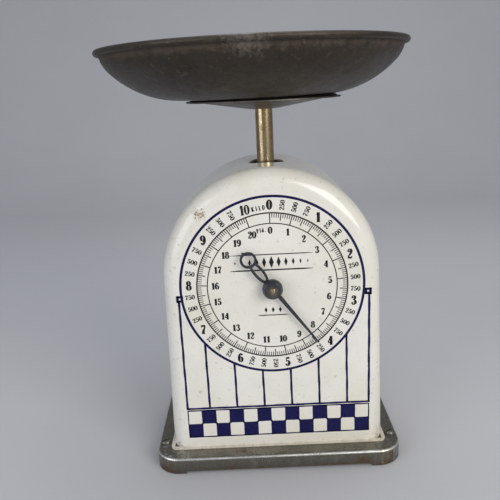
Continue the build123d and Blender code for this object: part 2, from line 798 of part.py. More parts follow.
with BuildPart() as pointer:
    with BuildSketch(pointer_plane):
        Circle(hub_radius - 1.0)
        with BuildLine():
            Polyline(
                (4, -needle_half_root), (pointer_reach, -needle_half_tip),
                (pointer_reach, needle_half_tip), (4, needle_half_root), close=True,
            )
        make_face()
        with Locations((-(tail_ring_at + 4) / 2, 0)):
            Ellipse((tail_ring_at + 4) / 2 - 6, 4.2)
            Ellipse((tail_ring_at + 4) / 2 - 8.4, 2.1, mode=Mode.SUBTRACT)
        Circle(hub_radius - 1.0)
        with Locations((-tail_ring_at, 0)):
            Circle(tail_ring_radius)
            Circle(tail_ring_bore, mode=Mode.SUBTRACT)
        with BuildLine():
            Polyline(
                (-tail_ring_at - tail_ring_radius + 0.6, -1.6),
                (-tail_ring_at - tail_ring_radius - 1.4, 0),
                (-tail_ring_at - tail_ring_radius + 0.6, 1.6), close=True,
            )
        make_face()
        Circle(hub_sleeve, mode=Mode.SUBTRACT)
    extrude(amount=pointer_sheet)
save(pointer, "pointer")

with BuildPart() as hub:
    with Locations((0, pointer_back - pointer_sheet, dial_z)):
        Cylinder(
            hub_radius, hub_height, rotation=(90, 0, 0),
            align=(Align.CENTER, Align.CENTER, Align.MIN),
        )
    rim = hub.edges().filter_by(GeomType.CIRCLE).sort_by(Axis.Y)[0]
    chamfer(rim, length=hub_height * 0.55, length2=hub_radius - hub_face_radius)
    fillet(hub.edges().filter_by(GeomType.CIRCLE).group_by(Axis.Y)[0], 0.8)
    with Locations((0, pointer_back - pointer_sheet, dial_z)):
        Cylinder(
            hub_sleeve, pointer_sheet + 2.4, rotation=(-90, 0, 0),
            align=(Align.CENTER, Align.CENTER, Align.MIN),
        )
    with Locations((0, pointer_back, dial_z)):
        Cylinder(arbor_radius, 30, rotation=(90, 0, 0), mode=Mode.SUBTRACT)
save(hub, "pointer_hub")

# ---------------------------------------------------------------- post
head_plug = 14.0
tray_screw_radius = 2.0
with BuildPart() as post:
    with BuildSketch(Plane.XY.offset(collar_top)):
        Circle(post_radius)
        Circle(post_bore, mode=Mode.SUBTRACT)
    extrude(amount=tray_z - collar_top)
    with Locations((0, 0, collar_top + plug_length / 2)):
        Cylinder(1.25, 20, rotation=(0, 90, 0), mode=Mode.SUBTRACT)
save(post, "post")

with BuildPart() as post_pin:
    with Locations((0, 0, collar_top + plug_length / 2)):
        Cylinder(1.25, 2 * post_radius, rotation=(0, 90, 0))
save(post_pin, "post_pin")

with BuildPart() as post_plug:
    with BuildSketch(Plane.XY.offset(tray_z - head_plug)):
        Circle(post_bore)
        Circle(tray_screw_radius, mode=Mode.SUBTRACT)
    extrude(amount=head_plug)
save(post_plug, "post_head_plug")

# ---------------------------------------------------------------- tray
tray_points = [
    (tray_screw_radius, 0.0),
    (tray_flat, 0.0),
    (0.5 * tray_radius, 0.38 * tray_rise),
    (0.75 * tray_radius, 0.7 * tray_rise),
    (tray_radius - 2 * tray_lip - tray_step, tray_rise),
    (tray_radius - tray_lip - tray_step, tray_rise),
    (tray_radius - tray_lip, tray_rise - tray_step),
    (tray_radius, tray_rise - tray_step),
]
with BuildPart() as tray:
    with BuildSketch(Plane.XZ):
        with BuildLine():
            Polyline(
                *[(r, tray_z + z) for r, z in tray_points],
                *[(r, tray_z + z + tray_sheet) for r, z in reversed(tray_points)],
                close=True,
            )
        make_face()
    revolve(axis=Axis.Z)
save(tray, "tray")

with BuildPart() as tray_screw:
    with Locations((0, 0, tray_z + tray_sheet)):
        Cylinder(5.0, 2.4, align=(Align.CENTER, Align.CENTER, Align.MIN))
        Cylinder(tray_screw_radius, 12, align=(Align.CENTER, Align.CENTER, Align.MAX))
    fillet(tray_screw.edges().filter_by(GeomType.CIRCLE).group_by(Axis.Z)[-1], 1.6)
    with Locations((0, 0, tray_z + tray_sheet + 2.4)):
        Box(12, 1.2, 1.0, align=(Align.CENTER, Align.CENTER, Align.MAX), mode=Mode.SUBTRACT)
save(tray_screw, "tray_screw")

# ---------------------------------------------------------------- pan
low_turn = radians(pan_low_turn)
full_turn = radians(pan_low_turn + pan_high_turn)
centre_low = (pan_flat, pan_low_arc)
centre_high = (
    pan_flat + (pan_low_arc - pan_high_arc) * sin(low_turn),
    pan_low_arc - (pan_low_arc - pan_high_arc) * cos(low_turn),
)


def pan_edge(depth):
    """The pan's section, at a depth inside its outer surface, with height above its bottom."""
    low = pan_low_arc - depth
    high = pan_high_arc - depth
    end_x = centre_high[0] + high * sin(full_turn)
    end_z = centre_high[1] - high * cos(full_turn)
    flat_end = (pan_flat, depth)
    mid = (centre_low[0] + low * sin(low_turn / 2), centre_low[1] - low * cos(low_turn / 2))
    turn_end = (centre_low[0] + low * sin(low_turn), centre_low[1] - low * cos(low_turn))
    half = (low_turn + full_turn) / 2
    high_mid = (centre_high[0] + high * sin(half), centre_high[1] - high * cos(half))
    top = (end_x + pan_wall_top * cos(full_turn), end_z + pan_wall_top * sin(full_turn))
    return flat_end, mid, turn_end, high_mid, (end_x, end_z), top


outer_edge = pan_edge(0.0)
inner_edge = pan_edge(pan_sheet)
bead_centre = (outer_edge[5][0] + 1.0, outer_edge[5][1] - 0.6)
pan_axis = Axis((pan_offset, 0, 0), (0, 0, 1))
pan_plane = Plane(origin=(pan_offset, 0, pan_z), x_dir=(1, 0, 0), z_dir=(0, -1, 0))

with BuildPart() as pan:
    with BuildSketch(pan_plane):
        with BuildLine():
            Line((0, 0), outer_edge[0])
            ThreePointArc(outer_edge[0], outer_edge[1], outer_edge[2])
            ThreePointArc(outer_edge[2], outer_edge[3], outer_edge[4])
            Line(outer_edge[4], outer_edge[5])
            Line(outer_edge[5], inner_edge[5])
            Line(inner_edge[5], inner_edge[4])
            ThreePointArc(inner_edge[4], inner_edge[3], inner_edge[2])
            ThreePointArc(inner_edge[2], inner_edge[1], inner_edge[0])
            Line(inner_edge[0], (0, pan_sheet))
            Line((0, pan_sheet), (0, 0))
        make_face()
        with Locations(bead_centre):
            Circle(bead_radius)
            Circle(wire_radius, mode=Mode.SUBTRACT)
    revolve(axis=pan_axis)
save(pan, "pan")

with BuildPart() as pan_wire:
    with BuildSketch(pan_plane):
        with Locations(bead_centre):
            Circle(wire_radius)
    revolve(axis=pan_axis)
save(pan_wire, "pan_rim_wire")

# ---------------------------------------------------------------- zero adjuster
adjuster_end = 16.0
knob_front = housing_back + cover_sheet + 1.6 + slip
with BuildPart() as knob_bush:
    with Locations((0, housing_back + cover_sheet + 1.6, knob_z)):
        Cylinder(
            knob_bush_radius, 6.0, rotation=(90, 0, 0),
            align=(Align.CENTER, Align.CENTER, Align.MIN),
        )
        Cylinder(
            knob_bush_radius + 1.8, 1.6, rotation=(90, 0, 0),
            align=(Align.CENTER, Align.CENTER, Align.MIN),
        )
        Cylinder(arbor_radius + running, 30, rotation=(90, 0, 0), mode=Mode.SUBTRACT)
save(knob_bush, "adjuster_bush")

with BuildPart() as adjuster:
    with Locations((0, adjuster_end, knob_z)):
        Cylinder(
            arbor_radius, knob_front + 6 - adjuster_end, rotation=(-90, 0, 0),
            align=(Align.CENTER, Align.CENTER, Align.MIN),
        )
save(adjuster, "adjuster_shaft")

knob_radius = 6.5
knob_ribs = 24
with BuildPart() as knob:
    with BuildSketch(Plane.XZ.offset(-knob_front)):
        with Locations((0, knob_z)):
            Circle(knob_radius)
            with PolarLocations(knob_radius, knob_ribs):
                Circle(0.45, mode=Mode.SUBTRACT)
            Circle(arbor_radius, mode=Mode.SUBTRACT)
    extrude(amount=-6.0)
save(knob, "adjuster_knob")

print("travel up", round(travel_up, 3), "down", round(travel_down, 3))
print("pointer ratio per metre", round(1000 / pitch_radius, 4))
print("link ratio per metre", round(1000 * link_swing / (travel_up + travel_down), 4), "rest tilt", round(link_rest_tilt, 3))
print("pivots", round(upper_pivot_z, 4), round(lower_pivot_z, 4))
print("spring fixed end z", round(hook_high_z + eye_radius, 3))
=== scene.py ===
"""Spring kitchen scale: the printing on its enamel, the finish of every piece, and the stage.

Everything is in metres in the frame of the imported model: +Z up, the dial faces -Y.
"""

import json
import math

import bmesh
import bpy
from bpy.props import FloatProperty, FloatVectorProperty, IntProperty, PointerProperty
from mathutils import Matrix, Vector


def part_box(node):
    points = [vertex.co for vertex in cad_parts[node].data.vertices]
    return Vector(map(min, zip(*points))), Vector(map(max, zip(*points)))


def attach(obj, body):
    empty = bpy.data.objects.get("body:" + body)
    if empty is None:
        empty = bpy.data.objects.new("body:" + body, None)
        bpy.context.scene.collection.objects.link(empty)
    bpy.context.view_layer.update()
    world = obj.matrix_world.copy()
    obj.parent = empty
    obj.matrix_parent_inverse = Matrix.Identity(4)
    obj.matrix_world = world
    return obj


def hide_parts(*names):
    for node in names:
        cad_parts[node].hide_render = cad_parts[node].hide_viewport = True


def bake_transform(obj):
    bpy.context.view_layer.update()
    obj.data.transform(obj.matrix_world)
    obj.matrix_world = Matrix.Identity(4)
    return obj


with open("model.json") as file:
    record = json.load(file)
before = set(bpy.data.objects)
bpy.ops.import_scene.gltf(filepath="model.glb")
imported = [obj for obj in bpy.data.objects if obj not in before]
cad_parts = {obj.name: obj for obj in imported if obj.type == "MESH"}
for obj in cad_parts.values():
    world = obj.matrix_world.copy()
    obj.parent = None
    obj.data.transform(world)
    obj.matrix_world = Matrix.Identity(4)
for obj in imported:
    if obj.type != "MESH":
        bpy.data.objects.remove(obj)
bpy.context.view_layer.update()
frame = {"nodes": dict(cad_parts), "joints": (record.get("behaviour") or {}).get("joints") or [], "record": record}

bl_info = {
    "name": "Kitchen scale",
    "version": (1, 0, 0),
    "blender": (4, 5, 0),
    "location": "View3D > Sidebar > Scale",
    "description": "Prints a spring kitchen scale's dial, finishes its pieces and sets the stage",
    "category": "Object",
}

MM = 0.001
HAIR = 0.05 * MM  # width at the point of a stroke that tapers to nothing
FLANGE_PROUD = 1.6 * MM  # the housing's turned-out foot stands this far in front of its face
POINTER = next(joint for joint in frame["joints"] if joint["name"] == "pointer_turn")
DIAL_X, DIAL_Z = POINTER["pos_m"][0], POINTER["pos_m"][2]
PLATE_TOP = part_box("housing")[0].z
FACE_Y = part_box("housing")[0].y + FLANGE_PROUD
PAN_LOW, PAN_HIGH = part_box("pan")
PAN_CENTRE = (PAN_LOW + PAN_HIGH) / 2

SHARP_ANGLE = math.radians(32)
TICKS_PER_KILO = 20
LETTERED_ABOVE, LETTERED_BELOW = 20 * MM, 19 * MM  # ornaments, from the dial's middle
FLOOR_FRONT, FLOOR_HALF_WIDTH, WALL_TOP = -16.0, 12.0, 4.0
BEND_START, BEND_RADIUS, BEND_STEPS = 1.0, 0.8, 12
CAMERA_PLACE = (-12.69 * MM, -491.5 * MM, 305.6 * MM)
CAMERA_PAN, CAMERA_DOWN, CAMERA_LEAN = 0.42, 15.39, -2.77  # degrees


# ---------------------------------------------------------------- settings
def length(name, description, millimetres):
    """A length property, from its default in millimetres."""
    return FloatProperty(
        name=name, description=description, default=millimetres * MM, unit="LENGTH"
    )


def colour(name, description, value):
    """A colour property in linear light."""
    return FloatVectorProperty(
        name=name, description=description, default=value, subtype="COLOR", size=4, min=0, max=1
    )


class ScaleDialSettings(bpy.types.PropertyGroup):
    """The round scale printed on the housing."""

    ring_radius: length("Ring radius", "Middle of the painted ring round the dial", 71.35)
    ring_line: length("Ring line", "Width of the painted ring", 2.0)
    outer_radius: length("Outer circle", "Radius of the circle that the ticks hang from", 58.6)
    inner_radius: length("Inner circle", "Radius of the circle inside the ticks", 50.45)
    sweep: FloatProperty(
        name="Sweep", description="Angle from nought to the full load",
        default=math.radians(341.8), subtype="ANGLE",
    )
    kilos: IntProperty(name="Kilograms", description="Full load in kilograms", default=10, min=1)
    kilo_height: length("Kilogram figures", "Height of the large figures", 7.7)
    gram_height: length("Gram figures", "Height of the small figures between the large ones", 3.7)
    pound_height: length("Pound figures", "Height of the figures inside the circles", 5.5)
    boldness: FloatProperty(
        name="Boldness", description="Width of the figures' strokes, 1 is a light cut", default=1.5
    )


class ScaleDecorSettings(bpy.types.PropertyGroup):
    """The painted stripes and squares under the dial."""

    shift: length("Shift", "How far the pattern stands to the right of the dial's middle", 1.0)
    stripe_gap: length("Stripe spacing", "Distance between two stripes", 22.55)
    stripe_width: length("Stripe width", "Width of one painted line", 1.75)
    half_width: length("Half width", "From the middle to the outermost stripe", 74.4)
    columns: IntProperty(
        name="Columns", description="Squares along the chequered band", default=13, min=1
    )
    band_low: length("Band foot", "Height of the band's lower edge", 24.5)
    band_high: length("Band head", "Height of the band's upper edge", 48.9)
    square_height: length("Corner square height", "Height of the two small hollow squares", 146.7)
    square_side: length("Corner square place", "From the middle to the two hollow squares", 73.6)


class ScaleFinishSettings(bpy.types.PropertyGroup):
    """Colours of the finishes."""

    enamel: colour("Enamel", "Glossy stove enamel", (0.78, 0.76, 0.70, 1))
    navy: colour("Blue", "Blue of the painted pattern", (0.0015, 0.0015, 0.052, 1))
    ink: colour("Black", "Black of the figures and ticks", (0.006, 0.006, 0.007, 1))
    pan: colour("Pan", "Dark worn steel of the pan", (0.050, 0.042, 0.035, 1))
    nickel: colour("Nickel", "Worn plating of the base", (0.25, 0.238, 0.205, 1))
    brass: colour("Brass", "Aged brass", (0.55, 0.43, 0.25, 1))


class ScaleStageSettings(bpy.types.PropertyGroup):
    """Floor, light and camera."""

    floor: colour("Floor", "Colour of the floor and the backdrop", (0.50, 0.50, 0.515, 1))
    key_power: FloatProperty(
        name="Key light", description="Power of the large soft light", default=14.0, unit="POWER"
    )
    fill_power: FloatProperty(
        name="Fill light", description="Power of the light from the other side", default=7.0,
        unit="POWER",
    )
    sky: FloatProperty(
        name="Surrounding light", description="Strength of the even light all round", default=0.50
    )
    lens: FloatProperty(
        name="Lens", description="Focal length of the camera in millimetres", default=43.19
    )


# ---------------------------------------------------------------- figures and letters
def oval(cx, cy, rx, ry, thick, thin):
    """A whole oval, thick at its sides and thin at its top and bottom."""
    points = []
    for step in range(25):
        a = math.radians(15 * step)
        width = thin + (thick - thin) * abs(math.cos(a)) ** 1.3
        points.append((cx + rx * math.cos(a), cy + ry * math.sin(a), width))
    return points


def bar(x0, y0, x1, y1, width):
    """A straight stroke of even width."""
    return [(x0, y0, width), (x1, y1, width)]


def ball(cx, cy, radius):
    """A round end, as a short stroke as wide as it is high."""
    points = []
    for step in range(9):
        a = math.pi * step / 8
        points.append((cx, cy + radius * math.cos(a), max(2 * radius * math.sin(a), 0.004)))
    return points


def smooth(points, steps=5):
    """A curve through the points of a stroke, with its width carried along."""
    ends = [points[0]] + points + [points[-1]]
    out = []
    for a, b, c, d in zip(ends, ends[1:], ends[2:], ends[3:]):
        for step in range(steps):
            t = step / steps
            out.append(tuple(
                0.5 * (2 * q + (r - p) * t + (2 * p - 5 * q + 4 * r - s) * t * t
                       + (3 * q - p - 3 * r + s) * t ** 3)
                for p, q, r, s in zip(a, b, c, d)
            ))
    out.append(points[-1])
    return out


SIX = [oval(0.30, 0.30, 0.19, 0.265, 0.18, 0.06),
       smooth([(0.47, 0.85, 0.08), (0.37, 0.955, 0.07), (0.22, 0.87, 0.12), (0.12, 0.62, 0.18),
               (0.11, 0.34, 0.18)]),
       ball(0.45, 0.82, 0.08)]
# strokes (x, y, width) of each figure and letter, 1 high and standing on 0
STROKES = {
    "0": [oval(0.30, 0.5, 0.205, 0.46, 0.19, 0.06)],
    "1": [bar(0.33, 0.0, 0.33, 0.97, 0.20), bar(0.13, 0.03, 0.53, 0.03, 0.06),
          smooth([(0.10, 0.76, 0.05), (0.20, 0.80, 0.08), (0.33, 0.93, 0.12)])],
    "2": [smooth([(0.10, 0.76, 0.10), (0.14, 0.89, 0.09), (0.28, 0.96, 0.07), (0.42, 0.89, 0.15),
                  (0.46, 0.73, 0.19), (0.38, 0.52, 0.15), (0.20, 0.30, 0.09), (0.08, 0.10, 0.07)]),
          smooth([(0.07, 0.07, 0.14), (0.22, 0.09, 0.14), (0.36, 0.06, 0.13), (0.48, 0.08, 0.10),
                  (0.54, 0.26, 0.05)]),
          ball(0.15, 0.75, 0.09)],
    "3": [smooth([(0.10, 0.80, 0.08), (0.16, 0.92, 0.08), (0.28, 0.965, 0.07), (0.42, 0.88, 0.15),
                  (0.44, 0.74, 0.17), (0.37, 0.60, 0.11), (0.22, 0.53, 0.06)]),
          smooth([(0.22, 0.53, 0.06), (0.40, 0.49, 0.10), (0.48, 0.34, 0.18), (0.46, 0.16, 0.17),
                  (0.32, 0.04, 0.08), (0.18, 0.04, 0.07), (0.09, 0.14, 0.09)]),
          ball(0.14, 0.78, 0.08), ball(0.13, 0.20, 0.085)],
    "4": [[(0.39, 0.96, 0.10), (0.05, 0.30, 0.07)], bar(0.03, 0.27, 0.60, 0.27, 0.08),
          bar(0.41, 0.0, 0.41, 0.97, 0.19), bar(0.24, 0.03, 0.58, 0.03, 0.06)],
    "5": [bar(0.10, 0.91, 0.50, 0.91, 0.14), bar(0.13, 0.95, 0.11, 0.50, 0.06),
          smooth([(0.11, 0.50, 0.06), (0.24, 0.60, 0.07), (0.39, 0.55, 0.13), (0.46, 0.36, 0.19),
                  (0.42, 0.15, 0.16), (0.28, 0.04, 0.07), (0.15, 0.06, 0.07), (0.08, 0.15, 0.09)]),
          ball(0.13, 0.20, 0.085)],
    "6": SIX,
    "7": [bar(0.08, 0.90, 0.54, 0.90, 0.15), bar(0.08, 0.97, 0.08, 0.72, 0.05),
          smooth([(0.53, 0.86, 0.08), (0.39, 0.58, 0.12), (0.29, 0.32, 0.18), (0.27, 0.0, 0.21)])],
    "8": [oval(0.30, 0.745, 0.16, 0.215, 0.16, 0.06), oval(0.30, 0.285, 0.20, 0.25, 0.18, 0.06)],
    "9": [[(0.60 - x, 1 - y, width) for x, y, width in stroke] for stroke in SIX],
    "K": [bar(0.12, 0.0, 0.12, 1.0, 0.16), bar(0.14, 0.38, 0.50, 1.0, 0.12),
          bar(0.24, 0.55, 0.54, 0.0, 0.14)],
    "I": [bar(0.30, 0.0, 0.30, 1.0, 0.16)],
    "L": [bar(0.14, 0.0, 0.14, 1.0, 0.16), bar(0.10, 0.07, 0.50, 0.07, 0.14)],
    "O": [oval(0.30, 0.5, 0.22, 0.44, 0.16, 0.13)],
    "P": [bar(0.14, 0.0, 0.14, 1.0, 0.18),
          smooth([(0.14, 0.94, 0.10), (0.38, 0.93, 0.11), (0.48, 0.74, 0.16), (0.38, 0.54, 0.11),
                  (0.16, 0.52, 0.10)])],
    "f": [smooth([(0.42, 0.93, 0.12), (0.30, 0.95, 0.12), (0.22, 0.80, 0.16), (0.22, 0.0, 0.16)]),
          bar(0.08, 0.62, 0.42, 0.62, 0.10)],
    "d": [oval(0.24, 0.30, 0.15, 0.27, 0.15, 0.09), bar(0.42, 0.0, 0.42, 1.0, 0.15)],
    ".": [ball(0.15, 0.08, 0.09)],
}
ADVANCE = {"1": 0.56, ".": 0.30, "I": 0.46, "f": 0.46, "L": 0.54}  # others take 0.61
SIDE = {"I": 0.07, "1": 0.02}  # space left out before a narrow sign


def lay_words(words, x, z, height, turn, squeeze, bold):
    """Strokes of a word in metres, its middle at (x, z), turned anticlockwise by an angle."""
    widths = [ADVANCE.get(sign, 0.61) * squeeze for sign in words]
    pen = -sum(widths) / 2
    cos_t, sin_t = math.cos(turn), math.sin(turn)
    laid = []
    for sign, width in zip(words, widths):
        side = SIDE.get(sign, 0.0)
        for stroke in STROKES[sign]:
            points = []
            for px, py, pw in stroke:
                u = (pen + (px - side) * squeeze) * height
                v = (py - 0.5) * height
                points.append((x + u * cos_t - v * sin_t, z + u * sin_t + v * cos_t,
                               pw * height * bold))
            laid.append(points)
        pen += width
    return laid


# ---------------------------------------------------------------- mesh work
def ribbon(strokes, closed):
    """Each stroke (x, z, width) as a chain of left and right points; closed holds looped ones."""
    chains = []
    for number, stroke in enumerate(strokes):
        looped = number in closed
        pairs = []
        count = len(stroke)
        for i, (x, z, width) in enumerate(stroke):
            before = stroke[i - 1] if i or looped else stroke[i]
            after = stroke[(i + 1) % count] if i + 1 < count or looped else stroke[i]
            along = Vector((after[0] - before[0], after[1] - before[1]))
            if along.length == 0:
                along = Vector((0, 1))
            along.normalize()
            side = Vector((-along.y, along.x)) * width / 2
            pairs.append(((x + side.x, z + side.y), (x - side.x, z - side.y)))
        chains.append((pairs, looped))
    return chains


def printed(name, strokes, material, thickness=0.06 * MM, closed=()):
    """A thin closed print of some strokes on the housing's face, sunk a little into it."""
    back = FACE_Y + 0.01 * MM
    front = back - thickness
    mesh = bmesh.new()
    for pairs, looped in ribbon(strokes, closed):
        rows = []
        for left, right in pairs:
            rows.append([
                mesh.verts.new((px, py, pz))
                for (px, pz) in (left, right) for py in (front, back)
            ])
        spans = list(zip(rows, rows[1:])) + ([(rows[-1], rows[0])] if looped else [])
        for (lf, lb, rf, rb), (mf, mb, nf, nb) in spans:
            mesh.faces.new((lf, rf, nf, mf))
            mesh.faces.new((lb, mb, nb, rb))
            mesh.faces.new((lf, mf, mb, lb))
            mesh.faces.new((rf, rb, nb, nf))
        if not looped:
            for (lf, lb, rf, rb), flip in ((rows[0], False), (rows[-1], True)):
                loop = (lf, lb, rb, rf)
                mesh.faces.new(tuple(reversed(loop)) if flip else loop)
    bmesh.ops.recalc_face_normals(mesh, faces=mesh.faces[:])
    data = bpy.data.meshes.new(name)
    mesh.to_mesh(data)
    mesh.free()
    piece = bpy.data.objects.new(name, data)
    bpy.context.scene.collection.objects.link(piece)
    data.materials.append(material)
    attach(piece, "base")


def round_line(radius, width, steps=180):
    """A circle round the dial's middle, clockwise from the top, as a stroke."""
    return [(*on_dial(math.tau * step / steps, radius), width) for step in range(steps)]


def on_dial(angle, radius):
    """A point of the dial, its angle clockwise from the top."""
    return DIAL_X + radius * math.sin(angle), DIAL_Z + radius * math.cos(angle)


def brush_line(x0, z0, x1, z1, width, wander=0.10 * MM):
    """A straight painted line that wanders and swells a little, as a brush leaves it."""
    length = math.hypot(x1 - x0, z1 - z0)
    count = max(2, int(length / (2.5 * MM)))
    points = []
    for step in range(count + 1):
        t = step / count
        phase = (x0 * 977 + z0 * 613) % math.tau
        drift = wander * math.sin(phase + t * length * 230) * math.sin(math.pi * t)
        swell = 1 + 0.10 * math.sin(phase * 3 + t * length * 410)
        across = Vector((-(z1 - z0), x1 - x0)).normalized() * drift
        points.append((x0 + (x1 - x0) * t + across.x, z0 + (z1 - z0) * t + across.y, width * swell))
    return points


# ---------------------------------------------------------------- shader groups
def new_group(name, outputs, **inputs):
    """A shader node group with named sockets, and where its point is on the piece itself."""
    tree = bpy.data.node_groups.new(name, "ShaderNodeTree")
    for label, value in inputs.items():
        kind = "NodeSocketVector" if isinstance(value, tuple) else "NodeSocketFloat"
        tree.interface.new_socket(name=label.replace("_", " "), in_out="INPUT",
                                  socket_type=kind).default_value = value
    for label in outputs:
        tree.interface.new_socket(name=label, in_out="OUTPUT", socket_type="NodeSocketFloat")
    given, out = tree.nodes.new("NodeGroupInput"), tree.nodes.new("NodeGroupOutput")
    return tree, given.outputs, out.inputs, own_place(tree)


def add(tree, kind, sockets=None, **settings):
    """Adds a node, sets its options, and sets or links its input sockets by name or number."""
    made = tree.nodes.new(kind)
    for key, value in settings.items():
        setattr(made, key, value)
    for key, value in (sockets or {}).items():
        if isinstance(value, bpy.types.NodeSocket):
            tree.links.new(value, made.inputs[key])
        else:
            made.inputs[key].default_value = value
    return made


def stretch_map(tree, value, low, high):
    """Maps a value from low..high onto 0..1, with soft ends."""
    return add(tree, "ShaderNodeMapRange", {"Value": value, "From Min": low, "From Max": high},
               interpolation_type="SMOOTHSTEP").outputs["Result"]


def gloss(tree, mask, low, high):
    """A roughness between two values, by a mask."""
    return add(tree, "ShaderNodeMapRange", {
        "Value": mask, "To Min": low, "To Max": high}).outputs["Result"]


def combine(tree, operation, first, second=0.0, third=0.0, clamp=False):
    """One step of arithmetic."""
    return add(tree, "ShaderNodeMath", {0: first, 1: second, 2: third}, operation=operation,
               use_clamp=clamp).outputs[0]


def shifted(tree, value, mask, share, clamp=True):
    """A value raised where a mask is, or lowered if the share is negative."""
    return combine(tree, "MULTIPLY_ADD", mask, share, value, clamp=clamp)


def largest(tree, masks):
    """The largest of several masks at each point."""
    found = masks[0]
    for mask in masks[1:]:
        found = combine(tree, "MAXIMUM", found, mask)
    return found


def blend_colours(tree, mask, first, second):
    """Mixes two colours by a mask; a colour is a socket or its red, green and blue."""
    first, second = (value if isinstance(value, bpy.types.NodeSocket) else (*value[:3], 1)
                     for value in (first, second))
    return add(tree, "ShaderNodeMix", {0: mask, 6: first, 7: second}, data_type="RGBA").outputs[2]


def overlay(tree, base, mask, share, tint):
    """Lays a tint over a colour where a mask is, at a share of its strength."""
    return blend_colours(tree, combine(tree, "MULTIPLY", mask, share), base, tint)


def toned(tint, red, green, blue):
    """A tint with its red, green and blue each taken times a factor."""
    return tint[0] * red, tint[1] * green, tint[2] * blue


def own_place(tree, stretch=None):
    """Where a point is on the piece itself, drawn out where stretch is under 1."""
    where = add(tree, "ShaderNodeTexCoord").outputs["Object"]
    if stretch is None:
        return where
    return add(tree, "ShaderNodeMapping", {"Vector": where, "Scale": stretch}).outputs[0]


def noise(tree, where, scale, detail, roughness=0.5):
    """Fractal noise at a point."""
    return add(tree, "ShaderNodeTexNoise", {
        "Vector": where, "Scale": scale, "Detail": detail, "Roughness": roughness}).outputs["Fac"]


def mottle_group():
    """Uneven tone: large clouds and fine specks between two values."""
    tree, given, out, where = new_group("Mottle", ("Mask", "Specks"), Cloud_Size=40.0,
                                        Speck_Size=900.0, Speck_Share=0.3)
    wide = stretch_map(tree, noise(tree, where, given["Cloud Size"], 6.0, 0.62), 0.32, 0.68)
    fine = stretch_map(tree, noise(tree, where, given["Speck Size"], 3.0, 0.7), 0.40, 0.66)
    mixed = add(tree, "ShaderNodeMix", {0: given["Speck Share"], 2: wide, 3: fine},
                data_type="FLOAT")
    tree.links.new(mixed.outputs[0], out["Mask"])
    tree.links.new(fine, out["Specks"])
    return tree


def scratch_group():
    """Fine scratches that run in three directions."""
    tree, given, out, where = new_group("Scratches", ("Mask",), Size=120.0, Share=0.62)
    masks = []
    for turn, stretch in (((0.3, 0.5, 0.4), (1, 26, 1)), ((0.9, 0.1, 2.2), (1, 34, 1)),
                          ((0.1, 1.2, 1.3), (30, 1, 1))):
        turned = add(tree, "ShaderNodeMapping", {
            "Vector": where, "Rotation": turn, "Scale": stretch})
        lines = add(tree, "ShaderNodeTexNoise", {
            "Vector": turned.outputs[0], "Scale": given["Size"], "Detail": 2.0,
            "Distortion": 0.15})
        masks.append(add(tree, "ShaderNodeMapRange", {
            "Value": lines.outputs["Fac"], "From Min": given["Share"],
            "From Max": 0.80}).outputs["Result"])
    tree.links.new(largest(tree, masks), out["Mask"])
    return tree


def ragged_edge(tree, given, away, reach, grain, depth):
    """1 where the distance away is nought, falling to 0 at the reach, its edge made uneven."""
    share = combine(tree, "DIVIDE", away, given[reach])
    uneven = combine(tree, "MULTIPLY", combine(tree, "SUBTRACT", grain, 0.5), given["Raggedness"])
    ragged = shifted(tree, share, uneven, depth, clamp=False)
    return combine(tree, "SUBTRACT", 1.0, ragged, clamp=True)


def height_group():
    """How near a point is to a height, with an uneven edge: for dirt at a foot, wear at a rim, painted shade low
    on a side, a painted highlight along an edge.
    """
    tree, given, out, where = new_group("Near a height", ("Mask",), Height=0.0, Reach=0.01,
                                        Raggedness=0.5, Patch_Size=120.0)
    split = add(tree, "ShaderNodeSeparateXYZ", {0: where})
    away = combine(tree, "ABSOLUTE", combine(
        tree, "SUBTRACT", split.outputs["Z"], given["Height"]))
    patches = noise(tree, where, given["Patch Size"], 5.0, 0.65)
    tree.links.new(ragged_edge(tree, given, away, "Reach", patches, 4.0), out["Mask"])
    return tree


def patch_group():
    """A ragged round patch about one point, such as a chip, a stain, a painted highlight or a painted reflection.
    """
    tree, given, out, where = new_group("Patch", ("Mask",), Middle=(0.0, 0.0, 0.0), Radius=0.004,
                                        Raggedness=1.0, Grain=500.0)
    away = add(tree, "ShaderNodeVectorMath", {0: where, 1: given["Middle"]},
               operation="DISTANCE").outputs["Value"]
    grain = noise(tree, where, given["Grain"], 4.0, 0.7)
    tree.links.new(ragged_edge(tree, given, away, "Radius", grain, 3.0), out["Mask"])
    return tree


GROUP_MAKERS = {
    "Mottle": mottle_group, "Scratches": scratch_group,
    "Near a height": height_group, "Patch": patch_group,
}


def use_group(tree, name, **values):
    """Places a shared group, made on first use, with its own values."""
    group = bpy.data.node_groups.get(name) or GROUP_MAKERS[name]()
    made = tree.nodes.new("ShaderNodeGroup")
    made.node_tree = group
    for key, value in values.items():
        made.inputs[key.replace("_", " ")].default_value = value
    return made


def mask_of(tree, name, **values):
    """The mask of a shared group with its own values."""
    return use_group(tree, name, **values).outputs["Mask"]


def spots(tree, places, **values):
    """The masks of patches, each from its middle and radius in millimetres."""
    return [mask_of(tree, "Patch", Middle=[value * MM for value in middle], Radius=radius * MM,
                    **values) for middle, radius in places]


def new_material(name, **constants):
    """A material with its Principled shader, constants set on the shader's own sockets."""
    material = bpy.data.materials.new(name)
    material.use_nodes = True
    tree = material.node_tree
    shader = tree.nodes["Principled BSDF"]
    for key, value in constants.items():
        shader.inputs[key.replace("_", " ")].default_value = value
    return material, tree, shader


def coat(tree, shader, base, rough):
    """Feeds a colour and a roughness into the shader."""
    tree.links.new(base, shader.inputs["Base Color"])
    tree.links.new(rough, shader.inputs["Roughness"])


def bump(tree, shader, height, distance, strength):
    """Feeds a height into the shader's normal."""
    made = add(tree, "ShaderNodeBump", {
        "Height": height, "Distance": distance, "Strength": strength})
    tree.links.new(made.outputs["Normal"], shader.inputs["Normal"])


